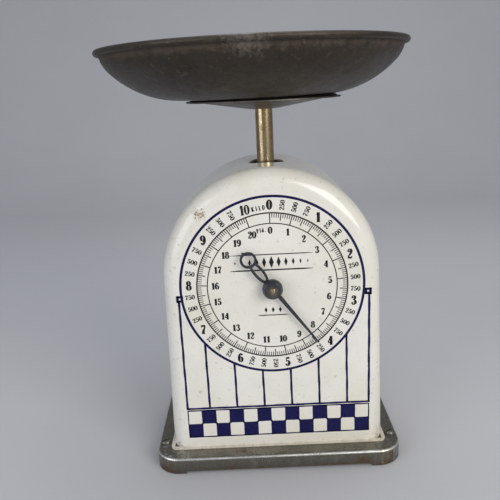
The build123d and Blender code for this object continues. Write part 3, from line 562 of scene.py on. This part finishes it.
def finish(material, *nodes):
    """Gives CAD nodes their material, curved faces smooth and edges sharp."""
    for node in nodes:
        data = frame["nodes"][node].data
        for face in data.polygons:
            face.use_smooth = True
        data.set_sharp_from_angle(angle=SHARP_ANGLE)
        data.materials.clear()
        data.materials.append(material)


# ---------------------------------------------------------------- materials
def enamel_material(settings):
    """White stove enamel: creamy, glossy, softly uneven, dirty at its foot, with small chips."""
    material, tree, shader = new_material("white_enamel", Coat_Weight=0.35, Coat_Roughness=0.06)
    tone = mask_of(tree, "Mottle", Cloud_Size=14.0, Speck_Size=420.0, Speck_Share=0.12)
    base = blend_colours(tree, tone, settings.enamel, toned(settings.enamel, 0.90, 0.88, 0.82))
    dirt = mask_of(tree, "Near a height", Height=PLATE_TOP, Reach=3.0 * MM, Raggedness=0.7,
                   Patch_Size=160.0)
    base = overlay(tree, base, dirt, 0.42, (0.30, 0.22, 0.12))
    faint = mask_of(tree, "Near a height", Height=PLATE_TOP, Reach=22 * MM, Raggedness=0.9,
                    Patch_Size=60.0)
    base = overlay(tree, base, faint, 0.12, (0.55, 0.47, 0.33))
    specks = use_group(tree, "Mottle", Cloud_Size=300.0, Speck_Size=260.0, Speck_Share=1.0)
    rare = stretch_map(tree, specks.outputs["Specks"], 0.985, 1.0)
    base = overlay(tree, base, rare, 0.35, (0.34, 0.24, 0.13))
    chips = (((-52.5, -47.0, 213.0), 5.5), ((-62.0, -50.0, 66.0), 2.2), ((57.0, -50.0, 40.0), 1.6),
             ((84.0, -20.0, 60.0), 3.0), ((-86.0, 12.0, 120.0), 2.6), ((60.0, 30.0, 221.0), 2.6),
             ((13.5, -7.0, 245.0), 3.4), ((-8.0, 12.5, 245.0), 3.0), ((-83.0, -47.0, 17.0), 2.6),
             ((83.5, -47.5, 18.0), 2.2))
    strengths = (0.8, 0.30, 0.45, 0.8, 0.8, 0.7, 0.9, 0.9, 0.45, 0.4)
    chipped = largest(tree, [
        combine(tree, "MULTIPLY", stretch_map(tree, spot, 0.15, 0.5), strength)
        for spot, strength in zip(spots(tree, chips, Raggedness=1.2, Grain=520.0), strengths)])
    base = blend_colours(tree, chipped, base, (0.23, 0.12, 0.05))
    rough = shifted(tree, shifted(tree, 0.17, tone, 0.07), dirt, 0.35)
    coat(tree, shader, base, shifted(tree, rough, chipped, 0.5))
    peel = noise(tree, own_place(tree), 38.0, 3.0)
    bump(tree, shader, shifted(tree, peel, chipped, -0.6, clamp=False), 0.0006, 0.55)
    return material


def paint_material(name, tint, wear):
    """Fired-on paint of the printing: nearly flat, a little uneven, thin in places."""
    material, tree, shader = new_material(name, Specular_IOR_Level=0.32)
    tone = use_group(tree, "Mottle", Cloud_Size=60.0, Speck_Size=1300.0, Speck_Share=0.35)
    light = [min(1.0, value * 2.6 + 0.010) for value in tint[:3]]
    base = overlay(tree, tint, tone.outputs["Mask"], wear, light)
    scratches = mask_of(tree, "Scratches", Size=90.0, Share=0.70)
    base = overlay(tree, base, scratches, 0.10, (0.20, 0.20, 0.24))
    coat(tree, shader, base, shifted(tree, 0.22, tone.outputs["Mask"], 0.12))
    bump(tree, shader, tone.outputs["Specks"], 0.00003, 0.4)
    return material


def metal_material(name, tint, shade, rough, rust=0.0, scratched=0.35, metallic=1.0,
                   depth=0.00006):
    """Worn metal: two tones in clouds and specks, scratches, some rust, uneven gloss."""
    material, tree, shader = new_material(name, Metallic=metallic)
    tone = use_group(tree, "Mottle", Cloud_Size=45.0, Speck_Size=900.0, Speck_Share=0.35)
    base = blend_colours(tree, tone.outputs["Mask"], tint, shade)
    marks = mask_of(tree, "Scratches", Size=110.0, Share=0.63)
    base = overlay(tree, base, marks, scratched, [min(1.0, value * 1.9 + 0.02) for value in tint])
    shine = gloss(tree, tone.outputs["Mask"], rough, rough + 0.2)
    if rust:
        rusty = mask_of(tree, "Mottle", Cloud_Size=95.0, Speck_Size=1400.0, Speck_Share=0.4)
        mask = combine(tree, "MULTIPLY", stretch_map(tree, rusty, 0.62, 0.92), rust)
        base = blend_colours(tree, mask, base, (0.19, 0.085, 0.035))
        shine = shifted(tree, shine, mask, 0.35)
        tree.links.new(shifted(tree, metallic, mask, -0.7 * metallic), shader.inputs["Metallic"])
    coat(tree, shader, base, shine)
    bump(tree, shader, shifted(tree, tone.outputs["Specks"], marks, -0.8, clamp=False), depth, 0.5)
    return material


def pan_material(settings):
    """The pan: dark brown worn steel, rusty under its rim, worn lighter on its bead, with a painted highlight near
    the front of its rim.
    """
    material, tree, shader = new_material("pan_patina")
    tone = mask_of(tree, "Mottle", Cloud_Size=34.0, Speck_Size=420.0, Speck_Share=0.35)
    base = blend_colours(tree, tone, settings.pan, toned(settings.pan, 0.42, 0.43, 0.42))
    warm = mask_of(tree, "Mottle", Cloud_Size=17.0, Speck_Size=130.0, Speck_Share=0.35)
    base = overlay(tree, base, warm, 0.65, (0.066, 0.048, 0.030))
    flecks = mask_of(tree, "Mottle", Cloud_Size=75.0, Speck_Size=240.0, Speck_Share=0.55)
    base = overlay(tree, base, stretch_map(tree, flecks, 0.70, 1.0), 0.50, (0.125, 0.105, 0.080))
    rim = PAN_HIGH.z - 4.5 * MM
    rust = mask_of(tree, "Near a height", Height=rim - 2 * MM, Reach=3.2 * MM, Raggedness=1.4,
                   Patch_Size=150.0)
    base = overlay(tree, base, rust, 0.38, (0.072, 0.042, 0.024))
    bare = mask_of(tree, "Near a height", Height=PAN_HIGH.z, Reach=2.0 * MM, Raggedness=0.45,
                   Patch_Size=220.0)
    base = overlay(tree, base, bare, 0.40, (0.15, 0.13, 0.115))
    # painted highlight: a light patch near the front of the rim where the lamp shines on the pan, made a little
    # glossier too
    highlight_spot = mask_of(tree, "Patch", Radius=15 * MM, Raggedness=1.1, Grain=330.0,
                     Middle=(PAN_CENTRE.x - 4 * MM, PAN_LOW.y + 4 * MM, rim + 6 * MM))
    base = overlay(tree, base, highlight_spot, 0.65, (0.22, 0.20, 0.175))
    marks = mask_of(tree, "Scratches", Size=70.0, Share=0.64)
    base = overlay(tree, base, marks, 0.28, (0.13, 0.115, 0.10))
    shine = shifted(tree, gloss(tree, tone, 0.33, 0.50), highlight_spot, -0.16)
    coat(tree, shader, base, shifted(tree, shine, rust, 0.25))
    tree.links.new(shifted(tree, 0.72, rust, -0.5), shader.inputs["Metallic"])
    bump(tree, shader, noise(tree, own_place(tree), 48.0, 9.0, 0.74), 0.0012, 0.7)
    return material


def nickel_material(settings):
    """The base: worn nickel on steel, worn light along its rounded edge with a painted highlight line there,
    painted shade on its sides, painted reflections at its front, browned in places.
    """
    material, tree, shader = new_material("worn_nickel", Metallic=0.95)
    tint = settings.nickel
    tone = mask_of(tree, "Mottle", Cloud_Size=24.0, Speck_Size=520.0, Speck_Share=0.35)
    base = blend_colours(tree, tone, tint, toned(tint, 0.55, 0.55, 0.50))
    # the rounded top edge is painted light: partly worn plating, partly a painted highlight line along the edge
    edge = mask_of(tree, "Near a height", Height=PLATE_TOP - 0.9 * MM, Reach=1.1 * MM,
                   Raggedness=0.25, Patch_Size=200.0)
    side = add(tree, "ShaderNodeNewGeometry").outputs["Normal"]
    upright = add(tree, "ShaderNodeSeparateXYZ", {0: side}).outputs["Z"]
    slanted = stretch_map(tree, combine(tree, "ABSOLUTE", upright), 0.995, 0.90)
    worn_edge_and_highlight = combine(tree, "MULTIPLY", edge, slanted)
    base = overlay(tree, base, worn_edge_and_highlight, 0.9, (0.85, 0.84, 0.78))
    marks = mask_of(tree, "Scratches", Size=60.0, Share=0.62)
    base = overlay(tree, base, marks, 0.45, (0.50, 0.49, 0.45))
    # painted shade: the base's sides are darkened towards the floor
    skirt_shade = mask_of(tree, "Near a height", Height=0.0, Reach=PLATE_TOP * 0.85, Raggedness=0.35,
                    Patch_Size=26.0)
    base = overlay(tree, base, skirt_shade, 0.55, toned(tint, 0.32, 0.32, 0.31))
    # painted reflections: light upright lines at the front left and, weaker, front right of the base's sides
    reflection_streaks = noise(tree, own_place(tree, (1, 1, 0.06)), 210.0, 3.0, 0.6)
    left, right = spots(tree, (((-94, -58, 6), 20), ((93, -58, 6), 20)), Raggedness=0.35,
                        Grain=60.0)
    reflection_corners = largest(tree, [left, combine(tree, "MULTIPLY", right, 0.55)])
    streak_reflections = combine(tree, "MULTIPLY", reflection_corners, stretch_map(tree, reflection_streaks, 0.50, 0.66))
    base = blend_colours(tree, streak_reflections, base, (0.80, 0.79, 0.73))
    stains = (((70.0, -65.0, 5.0), 9.0), ((88.0, -60.0, 7.0), 10.0), ((-30.0, -58.0, 14.0), 6.0),
              ((-90.0, -58.0, 4.0), 8.0), ((30.0, 60.0, 10.0), 12.0), ((95.0, 20.0, 8.0), 9.0))
    foot = mask_of(tree, "Near a height", Height=0.0, Reach=5.0 * MM, Raggedness=1.2,
                   Patch_Size=70.0)
    brown = largest(tree, [foot] + spots(tree, stains, Raggedness=1.3, Grain=160.0))
    base = overlay(tree, base, brown, 0.7, (0.13, 0.075, 0.035))
    coat(tree, shader, base, shifted(tree, gloss(tree, tone, 0.22, 0.44), brown, 0.3))
    bump(tree, shader, tone, 0.00025, 0.4)
    return material


def brass_material(settings):
    """Aged brass: drawn lengthwise, dull, with darker spots."""
    material, tree, shader = new_material("aged_brass", Metallic=1.0)
    tint = settings.brass
    lines = noise(tree, own_place(tree, (1, 1, 0.03)), 900.0, 4.0)
    tone = mask_of(tree, "Mottle", Cloud_Size=90.0, Speck_Size=700.0, Speck_Share=0.4)
    base = blend_colours(tree, tone, tint, toned(tint, 0.38, 0.34, 0.30))
    base = blend_colours(tree, stretch_map(tree, lines, 0.55, 0.75), base,
                         toned(tint, 1.35, 1.35, 1.5))
    coat(tree, shader, base, gloss(tree, tone, 0.17, 0.34))
    bump(tree, shader, lines, 0.00005, 0.5)
    return material


def lacquer_material():
    """The pointer's black lacquer, rubbed to brown metal at its hub's middle."""
    material, tree, shader = new_material("black_lacquer", Coat_Weight=0.2, Coat_Roughness=0.15)
    tone = use_group(tree, "Mottle", Cloud_Size=170.0, Speck_Size=1500.0, Speck_Share=0.4)
    base = blend_colours(tree, tone.outputs["Mask"], (0.010, 0.012, 0.018), (0.022, 0.025, 0.034))
    middle = (DIAL_X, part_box("pointer_hub")[0].y, DIAL_Z - 0.6 * MM)
    worn = mask_of(tree, "Patch", Middle=middle, Radius=5.2 * MM, Raggedness=0.5, Grain=600.0)
    base = overlay(tree, base, worn, 0.8, (0.16, 0.13, 0.07))
    marks = mask_of(tree, "Scratches", Size=150.0, Share=0.66)
    base = overlay(tree, base, marks, 0.3, (0.12, 0.12, 0.13))
    coat(tree, shader, base, gloss(tree, tone.outputs["Mask"], 0.30, 0.50))
    bump(tree, shader, tone.outputs["Specks"], 0.00005, 0.4)
    return material


def rubber_material():
    """Grey-black rubber of the feet, dusty and slightly cracked."""
    material, tree, shader = new_material("foot_rubber", Specular_IOR_Level=0.3)
    tone = use_group(tree, "Mottle", Cloud_Size=200.0, Speck_Size=1100.0, Speck_Share=0.5)
    base = blend_colours(tree, tone.outputs["Mask"], (0.030, 0.029, 0.028), (0.085, 0.080, 0.072))
    coat(tree, shader, base, gloss(tree, tone.outputs["Mask"], 0.70, 0.92))
    bump(tree, shader, tone.outputs["Specks"], 0.0001, 0.6)
    return material


# ---------------------------------------------------------------- operators
class SCALE_OT_print_dial(bpy.types.Operator):
    """Prints the ring, the circles, the ticks and the figures on the housing's face"""

    bl_idname = "scale.print_dial"
    bl_label = "Print the dial"

    def execute(self, context):
        dial = context.scene.scale_dial
        finishes = context.scene.scale_finish
        blue = paint_material("navy_paint", finishes.navy, wear=0.12)
        ink = paint_material("black_ink", finishes.ink, wear=0.5)
        per_kilo = dial.sweep / dial.kilos
        printed("dial_ring", [round_line(dial.ring_radius, dial.ring_line)], blue, 0.08 * MM, {0})
        printed("dial_circles", [round_line(dial.outer_radius, 1.05 * MM),
                                 round_line(dial.inner_radius, 0.8 * MM)], ink, closed={0, 1})

        ticks = []
        for step in range(dial.kilos * TICKS_PER_KILO + 1):
            if step % 10 == 0:
                reach, width = dial.outer_radius - dial.inner_radius, 0.8 * MM
            elif step % 5 == 0:
                reach, width = 6.0 * MM, 0.75 * MM
            else:
                reach, width = 3.7 * MM, 0.62 * MM
            angle = per_kilo * step / TICKS_PER_KILO
            ticks.append([(*on_dial(angle, dial.outer_radius), width),
                          (*on_dial(angle, dial.outer_radius - reach), width)])
        printed("dial_ticks", ticks, ink, 0.05 * MM)

        middle = (dial.ring_radius + dial.outer_radius) / 2 - 0.1 * MM
        large = []
        for kilo in range(dial.kilos + 1):
            # the last figure leans a little, and is cut finer because it has two signs
            last = kilo == dial.kilos
            x, z = on_dial(per_kilo * kilo + math.radians(1.2 * last), middle - 0.5 * MM * last)
            large += lay_words(str(kilo), x, z, dial.kilo_height, math.radians(6 * last), 0.86,
                               dial.boldness * (0.8 if last else 1.0))
        printed("dial_kilo_figures", large, ink)

        small = []
        for kilo in range(dial.kilos):
            for part, words in ((0.25, "250"), (0.5, "500"), (0.75, "750")):
                angle = per_kilo * (kilo + part)
                x, z = on_dial(angle, middle - 0.1 * MM)
                turn = math.pi / 2 - angle if angle < math.pi else 1.5 * math.pi - angle
                small += lay_words(words, x, z, dial.gram_height, turn, 1.15, dial.boldness)
        printed("dial_gram_figures", small, ink, 0.05 * MM)

        inner = []
        for pound in range(2 * dial.kilos + 1):
            radius = dial.inner_radius - (6.1 * MM if pound > 9 else 5.3 * MM)
            x, z = on_dial(per_kilo * pound / 2, radius)
            inner += lay_words(str(pound), x, z, dial.pound_height, 0.0, 0.95, dial.boldness)
        printed("dial_pound_figures", inner, ink)

        # the units' words stand in the gap that the sweep leaves: radius, spacing, height, shift
        gap = (dial.sweep + math.tau) / 2
        units = []
        for word, radius, space, height, shift in (
                ("KILO", middle - 1.9 * MM, 2.7 * MM, 3.6 * MM, 1.5 * MM),
                ("Pfd.", dial.inner_radius - 4.6 * MM, 1.95 * MM, 3.3 * MM, 0.7 * MM)):
            for step, sign in enumerate(word):
                angle = gap + ((step - (len(word) - 1) / 2) * space + shift) / radius
                units += lay_words(sign, *on_dial(angle, radius), height, -angle, 0.85, 1.45)
        printed("dial_unit_words", units, ink, 0.05 * MM)

        def lozenge(x, z, width, height):
            return [(DIAL_X + x, z - height / 2, HAIR), (DIAL_X + x, z, width),
                    (DIAL_X + x, z + height / 2, HAIR)]

        def rule(z, half, width):
            return [(DIAL_X - half, z, 0.3 * width), (DIAL_X - 0.8 * half, z, width),
                    (DIAL_X + 0.8 * half, z, width), (DIAL_X + half, z, 0.3 * width)]

        # plain rules with rows of lozenges fill the two places where such dials are lettered
        upper, lower = DIAL_Z + LETTERED_ABOVE, DIAL_Z - LETTERED_BELOW
        ornaments = [rule(upper - 6.2 * MM, 32 * MM, 1.1 * MM),
                     rule(upper + 6.2 * MM, 32 * MM, 0.8 * MM),
                     rule(lower - 4.4 * MM, 12 * MM, 0.8 * MM)]
        for step in range(-5, 6):
            near = 1 - abs(step) / 7
            ornaments.append(lozenge(step * 5.6 * MM, upper, 3.8 * MM * near, 9.6 * MM * near))
        for step in (-1, 0, 1):
            ornaments.append(lozenge(step * 5.6 * MM, lower, 2.4 * MM, 4.6 * MM))
        printed("dial_ornament", ornaments, ink)
        return {"FINISHED"}


class SCALE_OT_paint_stripes(bpy.types.Operator):
    """Paints the upright stripes under the dial and the two small squares beside it"""

    bl_idname = "scale.paint_stripes"
    bl_label = "Paint the stripes"

    def execute(self, context):
        decor = context.scene.scale_decor
        dial = context.scene.scale_dial
        blue = bpy.data.materials["navy_paint"]
        foot = decor.band_high + 1.9 * MM
        lines = []
        for step in (-2.5, -1.5, -0.5, 0.5, 1.5, 2.5):
            x = decor.shift + step * decor.stripe_gap
            top = DIAL_Z - math.sqrt(dial.ring_radius ** 2 - (x - DIAL_X) ** 2)
            lines.append(brush_line(x, top, x + 0.4 * MM, foot, decor.stripe_width))
        half, edge = 1.75 * MM, 1.9 * MM  # of the hollow squares, to the middle of their lines
        reach = half + edge / 2
        z = decor.square_height
        for side in (-1, 1):
            x = decor.shift + side * decor.half_width
            square = decor.shift + side * decor.square_side
            lines.append(brush_line(x, z - half, x, foot, decor.stripe_width))
            for way in (-1, 1):
                level, upright = z + way * half, square - way * half
                lines.append(brush_line(square + way * reach, level, square - way * reach, level,
                                        edge, 0.0))
                lines.append(brush_line(upright, z + way * reach, upright, z - way * reach,
                                        edge, 0.0))
        reach = decor.half_width + decor.stripe_width / 2
        lines.append(brush_line(decor.shift - reach, foot, decor.shift + reach, foot,
                                decor.stripe_width))
        printed("painted_stripes", lines, blue, 0.07 * MM)
        return {"FINISHED"}


class SCALE_OT_paint_band(bpy.types.Operator):
    """Paints the chequered band along the foot of the housing"""

    bl_idname = "scale.paint_band"
    bl_label = "Paint the chequered band"

    def execute(self, context):
        decor = context.scene.scale_decor
        blue = bpy.data.materials["navy_paint"]
        low, high = decor.band_low, decor.band_high
        left, right = decor.shift - decor.half_width, decor.shift + decor.half_width
        cell = (right - left) / decor.columns
        middle, tall = (low + high) / 2, (high - low) / 4
        blocks = []
        for bottom, first in ((middle, 1), (low, 0)):
            for column in range(first, decor.columns, 2):
                x = left + (column + 0.5) * cell
                wide = cell * (1.04 + 0.025 * math.sin(column * 2.3))
                blocks.append([(x + 0.1 * MM * math.sin(column * 1.7 + part), bottom + tall * part,
                                wide) for part in (0, 0.5, 1.0, 1.5, 2.0)])
        for column in range(1, decor.columns):
            x = left + column * cell
            blocks.append([(x, middle - 1.1 * MM, HAIR), (x, middle, 2.2 * MM),
                           (x, middle + 1.1 * MM, HAIR)])
            for z, way in ((low, 1), (high, -1)):
                blocks.append([(x, z, 2.0 * MM), (x, z + way * MM, HAIR)])
        for z in (low, high):
            blocks.append(brush_line(left, z, right, z, 1.1 * MM, 0.06 * MM))
        for x in (left, right):
            blocks.append(brush_line(x, low - 0.45 * MM, x, high + 0.45 * MM, 0.9 * MM, 0.06 * MM))
        printed("painted_band", blocks, blue, 0.07 * MM)
        return {"FINISHED"}


class SCALE_OT_finish_housing(bpy.types.Operator):
    """Enamels the housing and its back cover"""

    bl_idname = "scale.finish_housing"
    bl_label = "Enamel the housing"

    def execute(self, context):
        finish(enamel_material(context.scene.scale_finish), "housing", "back_cover")
        return {"FINISHED"}


class SCALE_OT_finish_pan(bpy.types.Operator):
    """Gives the pan and its rim wire their dark patina with a painted highlight, and the tray its grey steel"""

    bl_idname = "scale.finish_pan"
    bl_label = "Finish the pan and tray"

    def execute(self, context):
        finish(pan_material(context.scene.scale_finish), "pan", "pan_rim_wire")
        finish(metal_material("tray_steel", (0.17, 0.155, 0.135), (0.075, 0.068, 0.06), 0.30,
                              rust=0.4, metallic=0.9), "tray")
        return {"FINISHED"}


class SCALE_OT_finish_base(bpy.types.Operator):
    """Gives the base plate its worn nickel with painted shade, highlight and reflections, and the feet their
    rubber
    """

    bl_idname = "scale.finish_base"
    bl_label = "Finish the base"

    def execute(self, context):
        finish(nickel_material(context.scene.scale_finish), "base_plate", "foot_screws")
        finish(rubber_material(), "rubber_feet")
        return {"FINISHED"}


class SCALE_OT_finish_pointer(bpy.types.Operator):
    """Lacquers the pointer and its hub"""

    bl_idname = "scale.finish_pointer"
    bl_label = "Finish the pointer"

    def execute(self, context):
        finish(lacquer_material(), "pointer", "pointer_hub")
        return {"FINISHED"}


class SCALE_OT_finish_movement(bpy.types.Operator):
    """Gives the post, the movement and the fasteners their brass, steel and cast iron"""

    bl_idname = "scale.finish_movement"
    bl_label = "Finish the movement"

    def execute(self, context):
        by_slot = {
            "brass": brass_material(context.scene.scale_finish),
            "plain_steel": metal_material("plain_steel_worn", (0.42, 0.41, 0.39),
                                          (0.24, 0.23, 0.21), 0.32, rust=0.35),
            "spring_steel": metal_material("spring_wire_worn", (0.30, 0.30, 0.31),
                                           (0.14, 0.14, 0.15), 0.26, scratched=0.2),
            "cast_iron": metal_material("cast_iron_painted", (0.13, 0.135, 0.14),
                                        (0.07, 0.07, 0.072), 0.52, rust=0.25, metallic=0.5,
                                        depth=0.0003),
        }
        for part in frame["record"]["subparts"]:
            node, slot = part["node"], part["material_slot"]
            if slot in by_slot and node != "foot_screws":
                finish(by_slot[slot], node)
        return {"FINISHED"}


class SCALE_OT_string_springs(bpy.types.Operator):
    """Copies the two springs into objects of their own where the model has them, and hides the model's springs"""

    bl_idname = "scale.string_springs"
    bl_label = "Hang the springs"

    def execute(self, context):
        for side in ("left", "right"):
            node = f"spring_{side}"
            coil = frame["nodes"][node].data.copy()
            spring = bpy.data.objects.new(f"stretching_spring_{side}", coil)
            context.scene.collection.objects.link(spring)
            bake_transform(spring)
            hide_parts(node)
        return {"FINISHED"}


class SCALE_OT_stage(bpy.types.Operator):
    """Sets the pale floor, the soft lights and the camera"""

    bl_idname = "scale.stage"
    bl_label = "Set the stage"

    def execute(self, context):
        stage = context.scene.scale_stage
        scene = context.scene
        material, tree, shader = new_material("floor_paper", Roughness=0.6)
        tone = mask_of(tree, "Mottle", Cloud_Size=3.0, Speck_Size=400.0, Speck_Share=0.1)
        base = blend_colours(tree, tone, stage.floor, toned(stage.floor, 0.96, 0.96, 0.96))
        tree.links.new(base, shader.inputs["Base Color"])

        # a floor that curves up into the backdrop behind the object
        mesh = bmesh.new()
        profile = [(FLOOR_FRONT, 0.0), (BEND_START, 0.0)]
        for step in range(1, BEND_STEPS + 1):
            a = math.pi / 2 * step / BEND_STEPS
            profile.append((BEND_START + BEND_RADIUS * math.sin(a),
                            BEND_RADIUS * (1 - math.cos(a))))
        profile.append((BEND_START + BEND_RADIUS, WALL_TOP))
        rows = [[mesh.verts.new((x, y, z)) for x in (-FLOOR_HALF_WIDTH, FLOOR_HALF_WIDTH)]
                for y, z in profile]
        for (a, b), (c, d) in zip(rows, rows[1:]):
            mesh.faces.new((a, b, d, c)).smooth = True
        data = bpy.data.meshes.new("floor")
        mesh.to_mesh(data)
        mesh.free()
        data.materials.append(material)
        floor = bpy.data.objects.new("floor", data)
        scene.collection.objects.link(floor)

        world = bpy.data.worlds.new("soft_room")
        scene.world = world
        world.use_nodes = True
        sky = world.node_tree.nodes["Background"]
        sky.inputs["Color"].default_value = (0.80, 0.84, 0.92, 1)
        sky.inputs["Strength"].default_value = stage.sky

        target = Vector((0, 0, 0.17))
        lights = (
            ("key_light", (0.85, -1.15, 0.75), 0.9, stage.key_power, (1.0, 0.97, 0.92)),
            ("fill_light", (-1.1, -0.9, 0.55), 1.0, stage.fill_power, (0.92, 0.95, 1.0)),
            ("top_light", (0.1, 0.25, 1.5), 0.9, stage.fill_power * 0.9, (0.95, 0.97, 1.0)),
        )
        for name, place, size, power, tint in lights:
            data = bpy.data.lights.new(name, "AREA")
            data.shape = "SQUARE"
            data.size = size
            data.energy = power
            data.color = tint
            lamp = bpy.data.objects.new(name, data)
            lamp.location = place
            lamp.rotation_euler = (target - lamp.location).to_track_quat("-Z", "Y").to_euler()
            scene.collection.objects.link(lamp)

        data = bpy.data.cameras.new("camera")
        data.sensor_width = 36.0
        data.lens = stage.lens
        camera = bpy.data.objects.new("camera", data)
        scene.collection.objects.link(camera)
        turned = (Matrix.Rotation(math.radians(CAMERA_PAN), 4, "Z")
                  @ Matrix.Rotation(math.radians(90 - CAMERA_DOWN), 4, "X")
                  @ Matrix.Rotation(math.radians(CAMERA_LEAN), 4, "Z"))
        camera.matrix_world = Matrix.Translation(CAMERA_PLACE) @ turned
        scene.camera = camera
        scene.view_settings.view_transform = "Standard"
        return {"FINISHED"}


class SCALE_PT_panel(bpy.types.Panel):
    """Lists the steps that make the scale"""

    bl_label = "Kitchen scale"
    bl_idname = "SCALE_PT_panel"
    bl_space_type = "VIEW_3D"
    bl_region_type = "UI"
    bl_category = "Scale"

    def draw(self, context):
        for step in STEPS:
            self.layout.operator(step.bl_idname)
        for settings in ("scale_dial", "scale_decor", "scale_finish", "scale_stage"):
            group = getattr(context.scene, settings)
            box = self.layout.box()
            for key in type(group).__annotations__:
                box.prop(group, key)


STEPS = (
    SCALE_OT_print_dial,
    SCALE_OT_paint_stripes,
    SCALE_OT_paint_band,
    SCALE_OT_finish_housing,
    SCALE_OT_finish_pan,
    SCALE_OT_finish_base,
    SCALE_OT_finish_pointer,
    SCALE_OT_finish_movement,
    SCALE_OT_string_springs,
    SCALE_OT_stage,
)
SETTINGS = {
    "scale_dial": ScaleDialSettings,
    "scale_decor": ScaleDecorSettings,
    "scale_finish": ScaleFinishSettings,
    "scale_stage": ScaleStageSettings,
}


def register():
    for group in SETTINGS.values():
        bpy.utils.register_class(group)
    for key, group in SETTINGS.items():
        setattr(bpy.types.Scene, key, PointerProperty(type=group))
    for step in STEPS + (SCALE_PT_panel,):
        bpy.utils.register_class(step)


def unregister():
    for step in reversed(STEPS + (SCALE_PT_panel,)):
        bpy.utils.unregister_class(step)
    for key in SETTINGS:
        delattr(bpy.types.Scene, key)
    for group in reversed(list(SETTINGS.values())):
        bpy.utils.unregister_class(group)


def main():
    register()
    bpy.ops.scale.print_dial()
    bpy.ops.scale.paint_stripes()
    bpy.ops.scale.paint_band()
    bpy.ops.scale.finish_housing()
    bpy.ops.scale.finish_pan()
    bpy.ops.scale.finish_base()
    bpy.ops.scale.finish_pointer()
    bpy.ops.scale.finish_movement()
    bpy.ops.scale.string_springs()
    bpy.ops.scale.stage()


if __name__ == "__main__":
    main()
